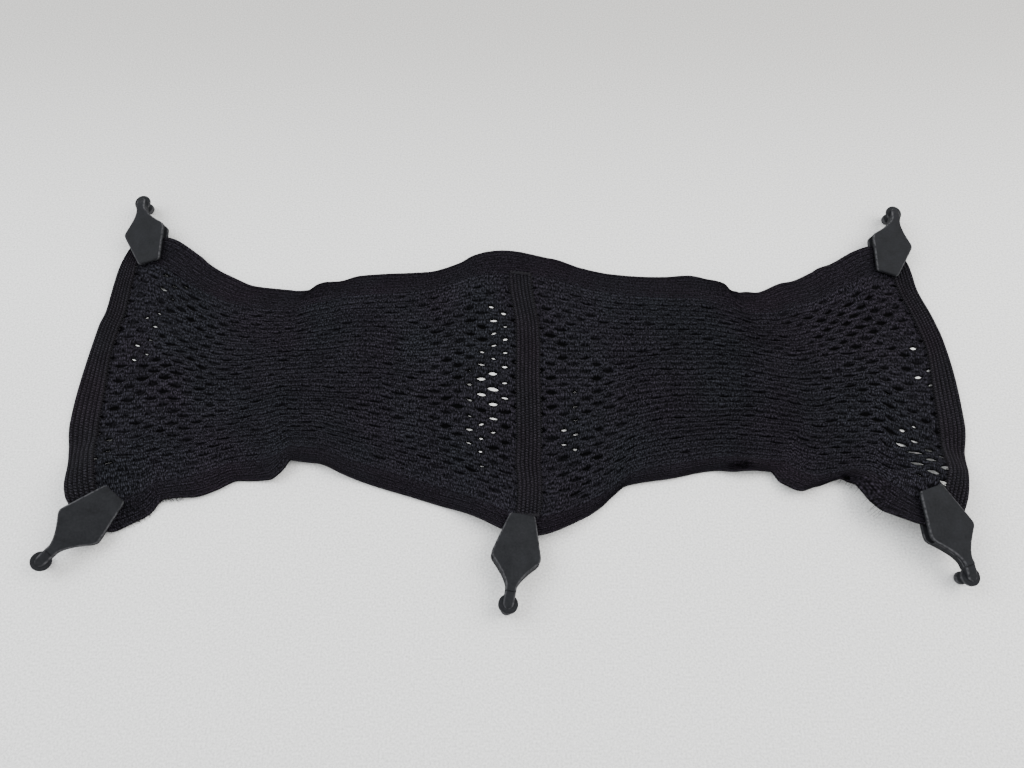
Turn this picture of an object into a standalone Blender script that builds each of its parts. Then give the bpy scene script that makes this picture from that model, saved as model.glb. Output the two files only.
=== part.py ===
"""Elastic luggage net, relaxed and lying on a flat surface.

A knitted net panel, dense along its front and rear hems, carries a ribbed elastic band on
each side and a ribbed tape down its middle. Five moulded clips hold it: one at each corner
and one at the middle of the front hem. X runs along the net, Y from front to rear, Z up,
and the surface that it lies on is Z = 0. All the sizes below are in millimetres.
"""

import math
from typing import NamedTuple

import bmesh
import bpy
import numpy as np
from mathutils import Euler, Matrix, Vector

MM = 0.001  # one millimetre, in Blender's metres


class EdgePoint(NamedTuple):
    """A point of the net's outline, seen from above."""

    x: float
    y: float


class Fold(NamedTuple):
    """A soft ridge: its middle, half length, half width, the way it runs and its height."""

    x: float
    y: float
    half_length: float
    half_width: float
    turn_deg: float
    height: float


class ClipPlace(NamedTuple):
    """A clip: its cut end's middle, the way it points, and how its pin end and side are raised."""

    name: str
    x: float
    y: float
    yaw_deg: float
    pitch_deg: float
    roll_deg: float


class Section(NamedTuple):
    """A cross-section of a moulded piece, across its length."""

    along: float
    half_width: float
    low: float
    high: float


# Outline, front left corner to front right corner
FRONT_EDGE = (
    EdgePoint(-192, -73),
    EdgePoint(-182.5, -77),
    EdgePoint(-172, -72),
    EdgePoint(-166.5, -68.5),
    EdgePoint(-161, -61.5),
    EdgePoint(-146, -60),
    EdgePoint(-138, -57),
    EdgePoint(-127.5, -52),
    EdgePoint(-113, -52),
    EdgePoint(-108, -49),
    EdgePoint(-106, -46.5),
    EdgePoint(-103.5, -42.8),
    EdgePoint(-92, -44),
    EdgePoint(-79, -49.5),
    EdgePoint(-63, -55),
    EdgePoint(-42, -61.5),
    EdgePoint(-24, -67.5),
    EdgePoint(-5, -77),
    EdgePoint(3, -80.5),
    EdgePoint(12.5, -79.5),
    EdgePoint(33, -70.5),
    EdgePoint(41, -65),
    EdgePoint(47.5, -59),
    EdgePoint(53.5, -54.5),
    EdgePoint(74, -51),
    EdgePoint(96, -47),
    EdgePoint(105, -48.5),
    EdgePoint(121, -48),
    EdgePoint(124.5, -53.5),
    EdgePoint(133, -58.5),
    EdgePoint(140, -56.1),
    EdgePoint(152.5, -52.5),
    EdgePoint(157, -54.5),
    EdgePoint(161, -65.5),
    EdgePoint(166, -71),
    EdgePoint(180.5, -77),
    EdgePoint(190, -78.5),
)
# Outline, rear left corner to rear right corner
REAR_EDGE = (
    EdgePoint(-196.5, 85.5),
    EdgePoint(-187, 85.5),
    EdgePoint(-168, 76),
    EdgePoint(-162.5, 71.5),
    EdgePoint(-149, 64),
    EdgePoint(-136, 58),
    EdgePoint(-118.5, 55.4),
    EdgePoint(-107, 54.1),
    EdgePoint(-102.3, 57.3),
    EdgePoint(-98.5, 59.3),
    EdgePoint(-90, 61.6),
    EdgePoint(-81, 64.7),
    EdgePoint(-45, 67),
    EdgePoint(-28, 73),
    EdgePoint(-21, 77),
    EdgePoint(-12.5, 79),
    EdgePoint(-4.5, 79.5),
    EdgePoint(21.5, 76),
    EdgePoint(37.5, 69.5),
    EdgePoint(52.5, 66),
    EdgePoint(81, 63.6),
    EdgePoint(94, 64.5),
    EdgePoint(105, 61.8),
    EdgePoint(111, 58.2),
    EdgePoint(114.5, 54.3),
    EdgePoint(118, 52.6),
    EdgePoint(124.5, 54),
    EdgePoint(128, 53.8),
    EdgePoint(143.5, 60),
    EdgePoint(148, 60.8),
    EdgePoint(160, 66.5),
    EdgePoint(165, 69.5),
    EdgePoint(170, 70.7),
    EdgePoint(183.5, 77),
    EdgePoint(193, 79.5),
    EdgePoint(201, 79),
)
# Outline, front left corner to rear left corner
LEFT_EDGE = (
    FRONT_EDGE[0],
    EdgePoint(-198.5, -66.5),
    EdgePoint(-205.5, -49),
    EdgePoint(-211, -37),
    EdgePoint(-214.5, -22),
    EdgePoint(-215.2, -6),
    EdgePoint(-213.8, 33),
    EdgePoint(-212.2, 42),
    EdgePoint(-211.5, 62),
    EdgePoint(-208, 77.5),
    EdgePoint(-203, 84),
    REAR_EDGE[0],
)
# Outline, front right corner to rear right corner
RIGHT_EDGE = (
    FRONT_EDGE[-1],
    EdgePoint(198, -75),
    EdgePoint(201.5, -69.5),
    EdgePoint(207.5, -56),
    EdgePoint(215, -39),
    EdgePoint(219.5, -23),
    EdgePoint(221.5, 9),
    EdgePoint(221, 23.5),
    EdgePoint(219, 37),
    EdgePoint(214.5, 54),
    EdgePoint(212.5, 69),
    EdgePoint(208.5, 75.5),
    REAR_EDGE[-1],
)
# The side bands' inner edges between the hems' edges, from front to rear
LEFT_INNER = (
    EdgePoint(-186, -66),
    EdgePoint(-188.3, -57.8),
    EdgePoint(-191.8, -45),
    EdgePoint(-197.8, -33),
    EdgePoint(-200.3, -22.5),
    EdgePoint(-202.2, -1.5),
    EdgePoint(-203.8, 19.5),
    EdgePoint(-203.3, 30),
    EdgePoint(-202, 42),
    EdgePoint(-202.3, 57),
    EdgePoint(-201.8, 69),
)
RIGHT_INNER = (
    EdgePoint(188.5, -70),
    EdgePoint(193.4, -61.3),
    EdgePoint(199.8, -45),
    EdgePoint(205.4, -32),
    EdgePoint(207, -22.5),
    EdgePoint(209, -1.5),
    EdgePoint(211, 17.5),
    EdgePoint(209.4, 33),
    EdgePoint(206, 47),
    EdgePoint(204, 55),
    EdgePoint(202, 66),
)
# Where the side bands' inner edges and the middle line meet the front and the rear edge
FRONT_STOPS = (FRONT_EDGE[0].x, -182, 5.6, 180, FRONT_EDGE[-1].x)
REAR_STOPS = (REAR_EDGE[0].x, -189.5, 5.2, 193, REAR_EDGE[-1].x)
CALM_REACH = 18.0  # an edge's small waves are those shorter than about twice this
WAVE_FADE = 4  # and die out into the net with this power of the distance to the far edge

FOLDS = (
    Fold(110, -48, 18, 9, 0, 3.5),
    Fold(134, -56, 16, 12, -10, 4.5),
    Fold(154, -52, 12, 8, 10, 4.0),
    Fold(-108, -46, 15, 12, 50, 3.5),
    Fold(-160, -61, 14, 10, 20, 2.5),
    Fold(114, 56, 14, 9, -35, 3.0),
    Fold(-103, 57, 14, 9, 30, 2.5),
    Fold(-6, 76, 28, 11, 0, 3.0),
    Fold(-170, 10, 60, 18, 100, 1.5),
    Fold(-118, 5, 50, 20, 80, 2.0),
    Fold(-70, 8, 52, 22, 95, 1.6),
    Fold(-24, -5, 45, 13, 84, 1.2),
    Fold(32, -15, 42, 14, 105, 1.8),
    Fold(75, 5, 55, 24, 88, 1.8),
    Fold(128, 5, 45, 20, 95, 2.2),
    Fold(183, -5, 55, 16, 80, 1.5),
)

CLIPS = (
    ClipPlace("clip_front_left", -182.5, -59.5, -127.5, 3.4, -26.5),
    ClipPlace("clip_front_middle", 4.3, -71, -98.9, 5, -5),
    ClipPlace("clip_front_right", 185.3, -60.6, -71, -8.6, -2.3),
    ClipPlace("clip_rear_left", -193, 71, 106.5, 7.9, -7.7),
    ClipPlace("clip_rear_right", 198, 63.5, 73.4, 7.8, 8.5),
)

# Net panel
CROSSING_THICK = 1.2  # where strands cross, and under the bands and the tape
STRAND_EDGE_THICK = 1.0  # at the rim of a mesh opening
FRONT_HEM = 11.0
REAR_HEM = 15.0
HEM_THICK = (1.7, 1.35, 1.75)  # the hem's ribs and the groove between, from the net outwards
MESH_COLUMNS = 16  # half meshes along each half of the net
MESH_ROWS = 16  # half meshes from hem to hem
OPEN_LONG = 0.56  # an opening's half length along X, in half meshes
OPEN_WIDE = 0.42  # and its half width, where the net is tallest
OPEN_SLIT = 0.30  # and where it is gathered to a waist
TALL_NET = 150.0  # front to rear, where its openings are widest
WAIST_NET = 100.0  # and where they are slits

# Sewn bands
BAND_WIDTH = 12.5
TAPE_WIDTH = 11.5
SEWN_GAP = 0.3  # between two layers that are sewn together
SEWN_STEPS = 3  # faces across a band's underside and the net below it, which lie alike
BAND_GROOVE_THICK = 0.85
BAND_RIB_THICK = 1.15
SIDE_RIBS = 6
TAPE_RIBS = 5

# Moulded clip, from its cut end at 0 to its pin's axis
PIN_AT = 40.0
WIDEST_AT = 20.5
HALF_CUT = 5.8
HALF_WIDEST = 11.4
FLARE_END = 33.5
FLARE_HOLLOW = 1.5  # 1 is a straight flare, and more is a hollower one
HALF_NECK = 2.4
SHELL = 1.7
SLOT = 3.4  # between the back shell and the cover, for the net's corner
NET_LIFT = 0.4  # from the back shell up to the net in the slot
SHOULDER_AT = 22.0  # where the back shell rises to carry the cover
COVER_TIP = 35.5
NECK_LOW = 1.6
NECK_HIGH = 6.4  # just past the cover's tip
EDGE_BEVEL = 1.1  # round the cover's cut end
LONG_BEVEL = 0.8  # and along its sides
SMALL_BEVEL = 0.4
RISER = 0.1  # the run of a step's steep face
FLARE_STEPS = 5
# The neck's end, which dips on to the pin's flange, as sections past the cover's tip
NECK_END = (
    Section(38.2, HALF_NECK, 1.9, 5.6),
    Section(PIN_AT, HALF_NECK, 2.2, 4.6),
    Section(PIN_AT + 1.6, 0.75 * HALF_NECK, 2.2, 4.0),
    Section(PIN_AT + 2.3, 0.35 * HALF_NECK, 2.2, 3.8),
)
# The pin's turned profile as (radius, height): flange, stem and rounded head
PIN_PROFILE = (
    (3.9, 3.2),
    (4.3, 2.8),
    (4.3, 1.5),
    (1.8, 1.5),
    (1.8, -2.4),
    (2.8, -3.2),
    (2.8, -5.2),
    (2.1, -6.2),
)
PIN_SIDES = 16
HALF_LENGTH = 218.0  # of the net, at its middle, from the middle line to either side
SIDE_SHARE = 0.5 * BAND_WIDTH / HALF_LENGTH
TAPE_HALF = 0.25 * TAPE_WIDTH / HALF_LENGTH
SIDE_STOPS = (0, SIDE_SHARE, 0.5, 1 - SIDE_SHARE, 1)  # bands' inner edges and middle, as s
PRESSED_FLAT = 0.2  # depth of the flat spot where a pin's head stands on the surface
GRIP_MARGIN = 3.0  # how far past a clip the net stays level with the clip's slot
GRIP_FADE = 26.0  # and how far on it takes to settle


# ---------------------------------------------------------------- the net's surface


def smooth_through(knots, values, at):
    """A curve through the given points that doesn't overshoot between them.

    Cubic stretches whose slopes are the harmonic means of their neighbours' slopes.
    """
    knots = np.asarray(knots, float)
    values = np.asarray(values, float)
    steps = np.diff(knots)
    chords = np.diff(values) / steps
    slopes = np.zeros(len(knots))
    same_way = chords[:-1] * chords[1:] > 0
    before, after = chords[:-1][same_way], chords[1:][same_way]
    slopes[1:-1][same_way] = 2 * before * after / (before + after)
    slopes[0], slopes[-1] = chords[0], chords[-1]
    at = np.clip(np.asarray(at, float), knots[0], knots[-1])
    left = np.clip(np.searchsorted(knots, at, side="right") - 1, 0, len(knots) - 2)
    step = steps[left]
    u = (at - knots[left]) / step
    start = values[left] * (1 + 2 * u) * (1 - u) ** 2 + values[left + 1] * u**2 * (3 - 2 * u)
    return start + step * (slopes[left] * u * (1 - u) ** 2 - slopes[left + 1] * u**2 * (1 - u))


def long_edge(edge, stops, s):
    """The front or rear edge at the fraction s: its calm course, and its small waves on that.

    The calm course is the edge averaged over CALM_REACH to either side, and meets both corners.
    """
    x = np.interp(s, SIDE_STOPS, stops)

    def height(at):
        return smooth_through([p.x for p in edge], [p.y for p in edge], at)

    def average(at):
        reach = np.linspace(-CALM_REACH, CALM_REACH, 9)
        return np.mean([height(at + step) for step in reach], axis=0)

    start, end = (corner.y - average(corner.x) for corner in (edge[0], edge[-1]))
    calm = average(x) + start + (end - start) * (x - edge[0].x) / (edge[-1].x - edge[0].x)
    waves = np.stack([np.zeros_like(x), height(x) - calm], axis=-1)
    return np.stack([x, calm], axis=-1), waves


def side_edge(points, t):
    """A line from front to rear at the fraction t of its length."""
    run = np.concatenate([[0], np.cumsum(np.linalg.norm(np.diff(points, axis=0), axis=1))])
    at = np.asarray(t) * run[-1]
    return np.stack([smooth_through(run, points[:, axis], at) for axis in (0, 1)], axis=-1)


STRIP_ENDS = np.array((0, SIDE_SHARE, 1 - SIDE_SHARE, 1))
FRONT_ENDS, _ = long_edge(FRONT_EDGE, FRONT_STOPS, STRIP_ENDS)
REAR_ENDS, _ = long_edge(REAR_EDGE, REAR_STOPS, STRIP_ENDS)
STRIP_LINES = (
    np.array(LEFT_EDGE),
    np.array([FRONT_ENDS[1], *LEFT_INNER, REAR_ENDS[1]]),
    np.array([FRONT_ENDS[2], *RIGHT_INNER, REAR_ENDS[2]]),
    np.array(RIGHT_EDGE),
)


def plan_point(s, t):
    """Plan position of the net at s along it and t across it.

    The left band's strip, the open net and the right band's strip are each a Coons patch on
    their four edges.
    """
    s, t = np.broadcast_arrays(np.asarray(s, float), np.asarray(t, float))
    front, front_waves = long_edge(FRONT_EDGE, FRONT_STOPS, s)
    rear, rear_waves = long_edge(REAR_EDGE, REAR_STOPS, s)
    strip = np.clip(np.searchsorted(STRIP_ENDS, s, side="right") - 1, 0, 2)
    u = ((s - STRIP_ENDS[strip]) / (STRIP_ENDS[strip + 1] - STRIP_ENDS[strip]))[..., None]
    left, right = np.zeros(front.shape), np.zeros(front.shape)
    for i in range(3):
        inside = strip == i
        left[inside] = side_edge(STRIP_LINES[i], t[inside])
        right[inside] = side_edge(STRIP_LINES[i + 1], t[inside])
    t = t[..., None]
    near = (1 - u) * FRONT_ENDS[strip] + u * FRONT_ENDS[strip + 1]
    far = (1 - u) * REAR_ENDS[strip] + u * REAR_ENDS[strip + 1]
    calm = (1 - t) * (front - near) + t * (rear - far) + (1 - u) * left + u * right
    return calm + (1 - t) ** WAVE_FADE * front_waves + t**WAVE_FADE * rear_waves


def net_height(s):
    """How tall the net is from front to rear at s."""
    front, _ = long_edge(FRONT_EDGE, FRONT_STOPS, s)
    rear, _ = long_edge(REAR_EDGE, REAR_STOPS, s)
    return np.linalg.norm(rear - front, axis=-1)


def smooth_step(value):
    """0 below 0, 1 above 1, and a smooth rise between."""
    value = np.clip(value, 0, 1)
    return value * value * (3 - 2 * value)


def fold_height(x, y):
    """The ridges' height: a raised cosine along each and across it, added up."""
    total = np.zeros_like(x)
    for fold in FOLDS:
        turn = math.radians(fold.turn_deg)
        along = (x - fold.x) * math.cos(turn) + (y - fold.y) * math.sin(turn)
        across = (y - fold.y) * math.cos(turn) - (x - fold.x) * math.sin(turn)
        a = np.clip(along / fold.half_length, -1, 1) * math.pi
        b = np.clip(across / fold.half_width, -1, 1) * math.pi
        total += fold.height * (1 + np.cos(a)) * (1 + np.cos(b)) / 4
    return total


def clip_matrix(clip):
    """Clip to world, in millimetres: the lowest point of the pin's head is PRESSED_FLAT below 0."""
    turn = Euler(
        (math.radians(clip.roll_deg), -math.radians(clip.pitch_deg), math.radians(clip.yaw_deg))
    ).to_matrix()
    radius, foot = PIN_PROFILE[-1]
    down = turn @ Vector((PIN_AT, 0, foot))
    lowest = down.z - radius * math.hypot(turn[2][0], turn[2][1])
    return Matrix.Translation((clip.x, clip.y, -lowest - PRESSED_FLAT)) @ turn.to_4x4()


def grip_plane(clip, x, y):
    """Height of the clip's slot floor over (x, y), and how firmly the clip holds the net there.

    Past the clip's sides and cut end the floor runs on level.
    """
    matrix = np.array(clip_matrix(clip))
    normal = matrix[:3, 2]
    floor = matrix[:3, 3] + normal * (SHELL + NET_LIFT)
    ahead = matrix[:2, 0] / np.linalg.norm(matrix[:2, 0])
    aside = np.array((-ahead[1], ahead[0]))
    along = (x - floor[0]) * ahead[0] + (y - floor[1]) * ahead[1]
    across = (x - floor[0]) * aside[0] + (y - floor[1]) * aside[1]
    near_along = np.maximum(along, -GRIP_MARGIN)
    near_across = np.clip(across, -HALF_WIDEST, HALF_WIDEST)
    fall = near_along * (ahead @ normal[:2]) + near_across * (aside @ normal[:2])
    outside = np.hypot(np.minimum(along, 0), np.maximum(np.abs(across) - HALF_WIDEST, 0))
    return floor[2] - fall / normal[2], 1 - smooth_step((outside - GRIP_MARGIN) / GRIP_FADE)


def lying_height(x, y):
    """Height of the net's underside: its folds, and the planes of the clips near them."""
    height = fold_height(x, y)
    for clip in CLIPS:
        plane, hold = grip_plane(clip, x, y)
        height = np.maximum((1 - hold) * height + hold * plane, 0)
    return height


# ---------------------------------------------------------------- columns and rows of the net

LEFT_START = 1  # column where the left half's meshes start, after the band's
LEFT_END = LEFT_START + MESH_COLUMNS
RIGHT_START = LEFT_END + 1
RIGHT_END = RIGHT_START + MESH_COLUMNS
LAST_COLUMN = RIGHT_END + 1
HEM_ROWS = len(HEM_THICK)
COLUMN_STOPS = (0, LEFT_START, LEFT_END, RIGHT_START, RIGHT_END, LAST_COLUMN)
COLUMN_PLACES = (0, SIDE_SHARE, 0.5 - TAPE_HALF, 0.5 + TAPE_HALF, 1 - SIDE_SHARE, 1)


def column_place(column):
    """The fraction s of a column, which may lie between two whole ones."""
    return np.interp(column, COLUMN_STOPS, COLUMN_PLACES)


def row_place(row, s):
    """The fraction t of a row at s; rows under 0 and over MESH_ROWS are the hems'."""
    front, rear = FRONT_HEM / net_height(s), REAR_HEM / net_height(s)
    if row < 0:
        return front * (1 + row / HEM_ROWS)
    if row > MESH_ROWS:
        return 1 - rear * (1 - (row - MESH_ROWS) / HEM_ROWS)
    return front + (1 - front - rear) * row / MESH_ROWS


def net_point(column, row, lift=0.0):
    """A point of the net's underside, raised by lift."""
    s = column_place(column)
    x, y = plan_point(s, row_place(row, s))
    return Vector((x, y, float(lying_height(x, y)) + lift))


def net_thickness(column, row):
    """The net's thickness at a lattice point: thicker hems, thin under what is sewn over it."""
    under_band = column <= LEFT_START or column >= RIGHT_END
    hem_row = max(-row, row - MESH_ROWS)
    if under_band or hem_row <= 0:
        return CROSSING_THICK
    return HEM_THICK[round(hem_row) - 1]


# ---------------------------------------------------------------- the net panel


class Sheet:
    """Collects faces between numbered points, then closes them into a sheet with real walls."""

    def __init__(self):
        self.numbers = {}
        self.under = []
        self.thick = []
        self.faces = []

    def point(self, column, row):
        """The number of the net's point at a column and a row."""
        key = (round(column, 4), round(row, 4))
        if key not in self.numbers:
            self.numbers[key] = len(self.under)
            self.under.append(net_point(column, row))
            self.thick.append(net_thickness(column, row))
        return self.numbers[key]

    def rim_point(self, corner, middle, share):
        """The number of a new point at a share of the way from a mesh's middle to its corner."""
        place = middle.lerp(self.under[corner], share)
        self.under.append(Vector((place.x, place.y, float(lying_height(place.x, place.y)))))
        self.thick.append(STRAND_EDGE_THICK)
        return len(self.under) - 1

    def quad(self, a, b, c, d):
        """Four corners, counted the way that faces up, as two triangles."""
        self.faces += [(a, b, c), (a, c, d)]

    def fan(self, *corners):
        """A flat patch of any number of corners, as triangles round its last one."""
        self.faces += [(corners[-1], a, b) for a, b in zip(corners, corners[1:-1])]

    def mesh(self, name):
        """The closed mesh: upper faces, lower faces and a wall along each free edge."""
        count = len(self.under)
        tops = [p + Vector((0, 0, t)) for p, t in zip(self.under, self.thick)]
        points = [p * MM for p in tops + self.under]
        faces = list(self.faces)
        faces += [(c + count, b + count, a + count) for a, b, c in self.faces]
        edges = {(a, b) for face in self.faces for a, b in zip(face, face[1:] + face[:1])}
        for a, b in sorted(edges):
            if (b, a) not in edges:
                faces += [(a, a + count, b + count), (a, b + count, b)]
        mesh = bpy.data.meshes.new(name)
        mesh.from_pydata(points, [], faces)
        return mesh


def opening_width(column):
    """An opening's half width in half meshes: wide where the net is tall, a slit at a waist."""
    tall = (net_height(column_place(column)) - WAIST_NET) / (TALL_NET - WAIST_NET)
    return OPEN_SLIT + (OPEN_WIDE - OPEN_SLIT) * float(smooth_step(tall))


def add_mesh_cell(sheet, column, row):
    """A whole mesh: a four-sided frame of strands round a pointed opening.

    The opening's corners lie on the lines from the mesh's middle to its own corners, so no
    strand is crossed by its opening where the net is skewed.
    """
    wide = opening_width(column)
    outer = [(column - 1, row), (column, row - 1), (column + 1, row), (column, row + 1)]
    corners = [sheet.point(*place) for place in outer]
    middle = sum((sheet.under[corner] for corner in corners), Vector((0, 0, 0))) / 4
    shares = (OPEN_LONG, wide, OPEN_LONG, wide)
    rim = [sheet.rim_point(corner, middle, share) for corner, share in zip(corners, shares)]
    for i in range(4):
        j = (i + 1) % 4
        sheet.quad(corners[i], corners[j], rim[j], rim[i])


def add_half_cells(sheet, first, last):
    """The closed half meshes along a half net's hems and sides, from column first to last."""
    for column in range(first + 1, last, 2):
        for row, inwards in ((0, 1), (MESH_ROWS, -1)):
            steps = np.array((-1, -0.5, 0, 0.5, 1)) * inwards
            edge = [sheet.point(column + step, row) for step in steps]
            sheet.fan(*edge, sheet.point(column, row + inwards))
    for row in range(1, MESH_ROWS, 2):
        for column, inwards in ((first, 1), (last, -1)):
            edge = [sheet.point(column, row + step * inwards) for step in (1, 0, -1)]
            sheet.fan(*edge, sheet.point(column + inwards, row))


def add_hems(sheet, first, last, step):
    """Both hems from column first to last, in quads that are step columns long."""
    for i in range(round((last - first) / step)):
        a, b = first + i * step, first + (i + 1) * step
        for row in [*range(-HEM_ROWS, 0), *range(MESH_ROWS, MESH_ROWS + HEM_ROWS)]:
            places = ((a, row), (b, row), (b, row + 1), (a, row + 1))
            sheet.quad(*(sheet.point(*place) for place in places))


def build_net_panel():
    """The net in one piece, with its hems, its folds and its openings cut through."""
    sheet = Sheet()
    for first, last in ((LEFT_START, LEFT_END), (RIGHT_START, RIGHT_END)):
        for column in range(first + 1, last):
            for row in range(1, MESH_ROWS):
                if (column - first + row) % 2 == 0:
                    continue
                add_mesh_cell(sheet, column, row)
        add_half_cells(sheet, first, last)
        add_hems(sheet, first, last, 0.5)
    for column in (0, LEFT_END, RIGHT_END):
        add_hems(sheet, column, column + 1, 1 / SEWN_STEPS)
        for row in range(MESH_ROWS):
            for i in range(SEWN_STEPS):
                a, b = column + i / SEWN_STEPS, column + (i + 1) / SEWN_STEPS
                places = ((a, row), (b, row), (b, row + 1), (a, row + 1))
                sheet.quad(*(sheet.point(*place) for place in places))
    return sheet.mesh("net_panel")


# ---------------------------------------------------------------- sewn bands


def end_faces(under, over):
    """Triangles that close a band's front end, between its lower and its upper points."""
    faces = []
    i = j = 0
    while i + j < len(under) + len(over) - 2:
        next_over, next_under = (i + 1) / (len(over) - 1), (j + 1) / (len(under) - 1)
        if next_over <= min(next_under, 1):
            faces.append((under[j], over[i + 1], over[i]))
            i += 1
        else:
            faces.append((under[j], under[j + 1], over[i]))
            j += 1
    return faces


def build_ribbed_band(name, column, rows, ribs):
    """A ribbed band sewn over one column of the net, with its ribs raised in its upper face."""
    steps = SEWN_STEPS + 1
    across = 2 * ribs + 1
    count = len(rows)
    under, over = [], []
    for row in rows:
        line = [
            net_point(column + i / SEWN_STEPS, row, CROSSING_THICK + SEWN_GAP)
            for i in range(steps)
        ]
        under += line
        for i in range(across):
            place = i / (across - 1) * SEWN_STEPS
            left = min(int(place), SEWN_STEPS - 1)
            thick = BAND_RIB_THICK if i % 2 else BAND_GROOVE_THICK
            point = line[left].lerp(line[left + 1], place - left)
            over.append(point + Vector((0, 0, thick)))
    points = under + over

    def lower(row, i):
        return row * steps + i

    def upper(row, i):
        return count * steps + row * across + i

    faces = []
    for row in range(count - 1):
        for i in range(SEWN_STEPS):
            a, b = lower(row, i), lower(row, i + 1)
            faces += [(b + steps, b, a), (a + steps, b + steps, a)]
        for i in range(across - 1):
            faces.append(
                (upper(row, i), upper(row, i + 1), upper(row + 1, i + 1), upper(row + 1, i))
            )
        near = (lower(row, 0), upper(row, 0), upper(row + 1, 0), lower(row + 1, 0))
        far = (upper(row, across - 1), lower(row, SEWN_STEPS))
        faces += [near, (*far, lower(row + 1, SEWN_STEPS), upper(row + 1, across - 1))]
    for row in (0, count - 1):
        end = end_faces([lower(row, i) for i in range(steps)], [upper(row, i) for i in range(across)])
        faces += end if row == 0 else [face[::-1] for face in end]
    mesh = bpy.data.meshes.new(name)
    mesh.from_pydata([p * MM for p in points], [], faces)
    return mesh


# ---------------------------------------------------------------- moulded clips


def half_width_at(along):
    """Half the shells' width: straight to the widest point, then hollow down to the neck."""
    if along <= WIDEST_AT:
        return HALF_CUT + (HALF_WIDEST - HALF_CUT) * along / WIDEST_AT
    if along >= FLARE_END:
        return HALF_NECK
    left = (FLARE_END - along) / (FLARE_END - WIDEST_AT)
    return HALF_NECK + (HALF_WIDEST - HALF_NECK) * left**FLARE_HOLLOW


def shell_places(end):
    """Places along a shell from its cut end to the given end, closer together on the flare."""
    flare = [WIDEST_AT + (end - WIDEST_AT) * (i / FLARE_STEPS) for i in range(FLARE_STEPS + 1)]
    return [0.0, EDGE_BEVEL, *flare]


def loft(mesh_name, sections, bevel_low, bevel_high):
    """A closed body through eight-sided sections, bevelled along its lower and upper edges."""
    points = []
    for part in sections:
        low_in = part.half_width - bevel_low
        high_in = part.half_width - bevel_high
        side = [
            (low_in, part.low),
            (part.half_width, part.low + bevel_low),
            (part.half_width, part.high - bevel_high),
            (high_in, part.high),
        ]
        ring = side + [(-across, up) for across, up in reversed(side)]
        points += [Vector((part.along, across, up)) * MM for across, up in ring]
    sides = len(ring)
    faces = [tuple(reversed(range(sides)))]
    for row in range(len(sections) - 1):
        for i in range(sides):
            a, b = row * sides + i, row * sides + (i + 1) % sides
            faces.append((a, b, b + sides, a + sides))
    faces.append(tuple(range(len(points) - sides, len(points))))
    mesh = bpy.data.meshes.new(mesh_name)
    mesh.from_pydata(points, [], faces)
    return mesh


def build_cover_mesh():
    """The front shell, with its cut end and its long edges bevelled."""
    low = SHELL + SLOT
    high = low + SHELL
    sections = []
    for along in shell_places(COVER_TIP):
        cut = EDGE_BEVEL / 2 if along == 0 else 0
        sections.append(Section(along, half_width_at(along) - cut, low, high - cut))
    return loft("clip_cover", sections, SMALL_BEVEL / 2, LONG_BEVEL)


def build_shell_and_neck():
    """The back shell, the shoulder that carries the cover, and the neck to the pin."""
    top = SHELL + SLOT - SEWN_GAP
    sections = []
    for along in [*shell_places(FLARE_END), COVER_TIP + SEWN_GAP]:
        if along > SHOULDER_AT and sections[-1].along < SHOULDER_AT:
            sections.append(Section(SHOULDER_AT, half_width_at(SHOULDER_AT), 0, SHELL))
            start = SHOULDER_AT + RISER
            sections.append(Section(start, half_width_at(start), 0, top))
        high = SHELL if along < SHOULDER_AT else top
        rise = min(1, max(0, along - SHOULDER_AT) / (FLARE_END - SHOULDER_AT))
        sections.append(Section(along, half_width_at(along), NECK_LOW * rise, high))
    step_top = COVER_TIP + SEWN_GAP + RISER
    sections.append(Section(step_top, HALF_NECK, NECK_LOW, NECK_HIGH))
    sections.extend(NECK_END)
    return loft("clip_shell_and_neck", sections, SMALL_BEVEL, SMALL_BEVEL)


def build_pin_mesh():
    """The pin: its profile turned round its own axis."""
    mesh = bmesh.new()
    start = [mesh.verts.new((PIN_AT * MM + r * MM, 0, z * MM)) for r, z in PIN_PROFILE]
    edges = [mesh.edges.new(pair) for pair in zip(start, start[1:])]
    bmesh.ops.spin(
        mesh,
        geom=start + edges,
        cent=(PIN_AT * MM, 0, 0),
        axis=(0, 0, 1),
        angle=2 * math.pi,
        steps=PIN_SIDES,
    )
    bmesh.ops.remove_doubles(mesh, verts=mesh.verts, dist=MM / 100)
    bmesh.ops.holes_fill(mesh, edges=mesh.edges, sides=PIN_SIDES)
    bmesh.ops.recalc_face_normals(mesh, faces=mesh.faces)
    result = bpy.data.meshes.new("clip_pin")
    mesh.to_mesh(result)
    mesh.free()
    return result


def joined_body(shell, pin):
    """The shell and the pin as one closed mesh."""
    body = bpy.data.objects.new("clip_body_blank", shell)
    tool = bpy.data.objects.new("clip_pin_blank", pin)
    for blank in (body, tool):
        bpy.context.scene.collection.objects.link(blank)
    union = body.modifiers.new("join pin", "BOOLEAN")
    union.operation = "UNION"
    union.object = tool
    graph = bpy.context.evaluated_depsgraph_get()
    result = bpy.data.meshes.new_from_object(body.evaluated_get(graph), depsgraph=graph)
    for blank in (body, tool):
        bpy.data.objects.remove(blank)
    return result


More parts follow.
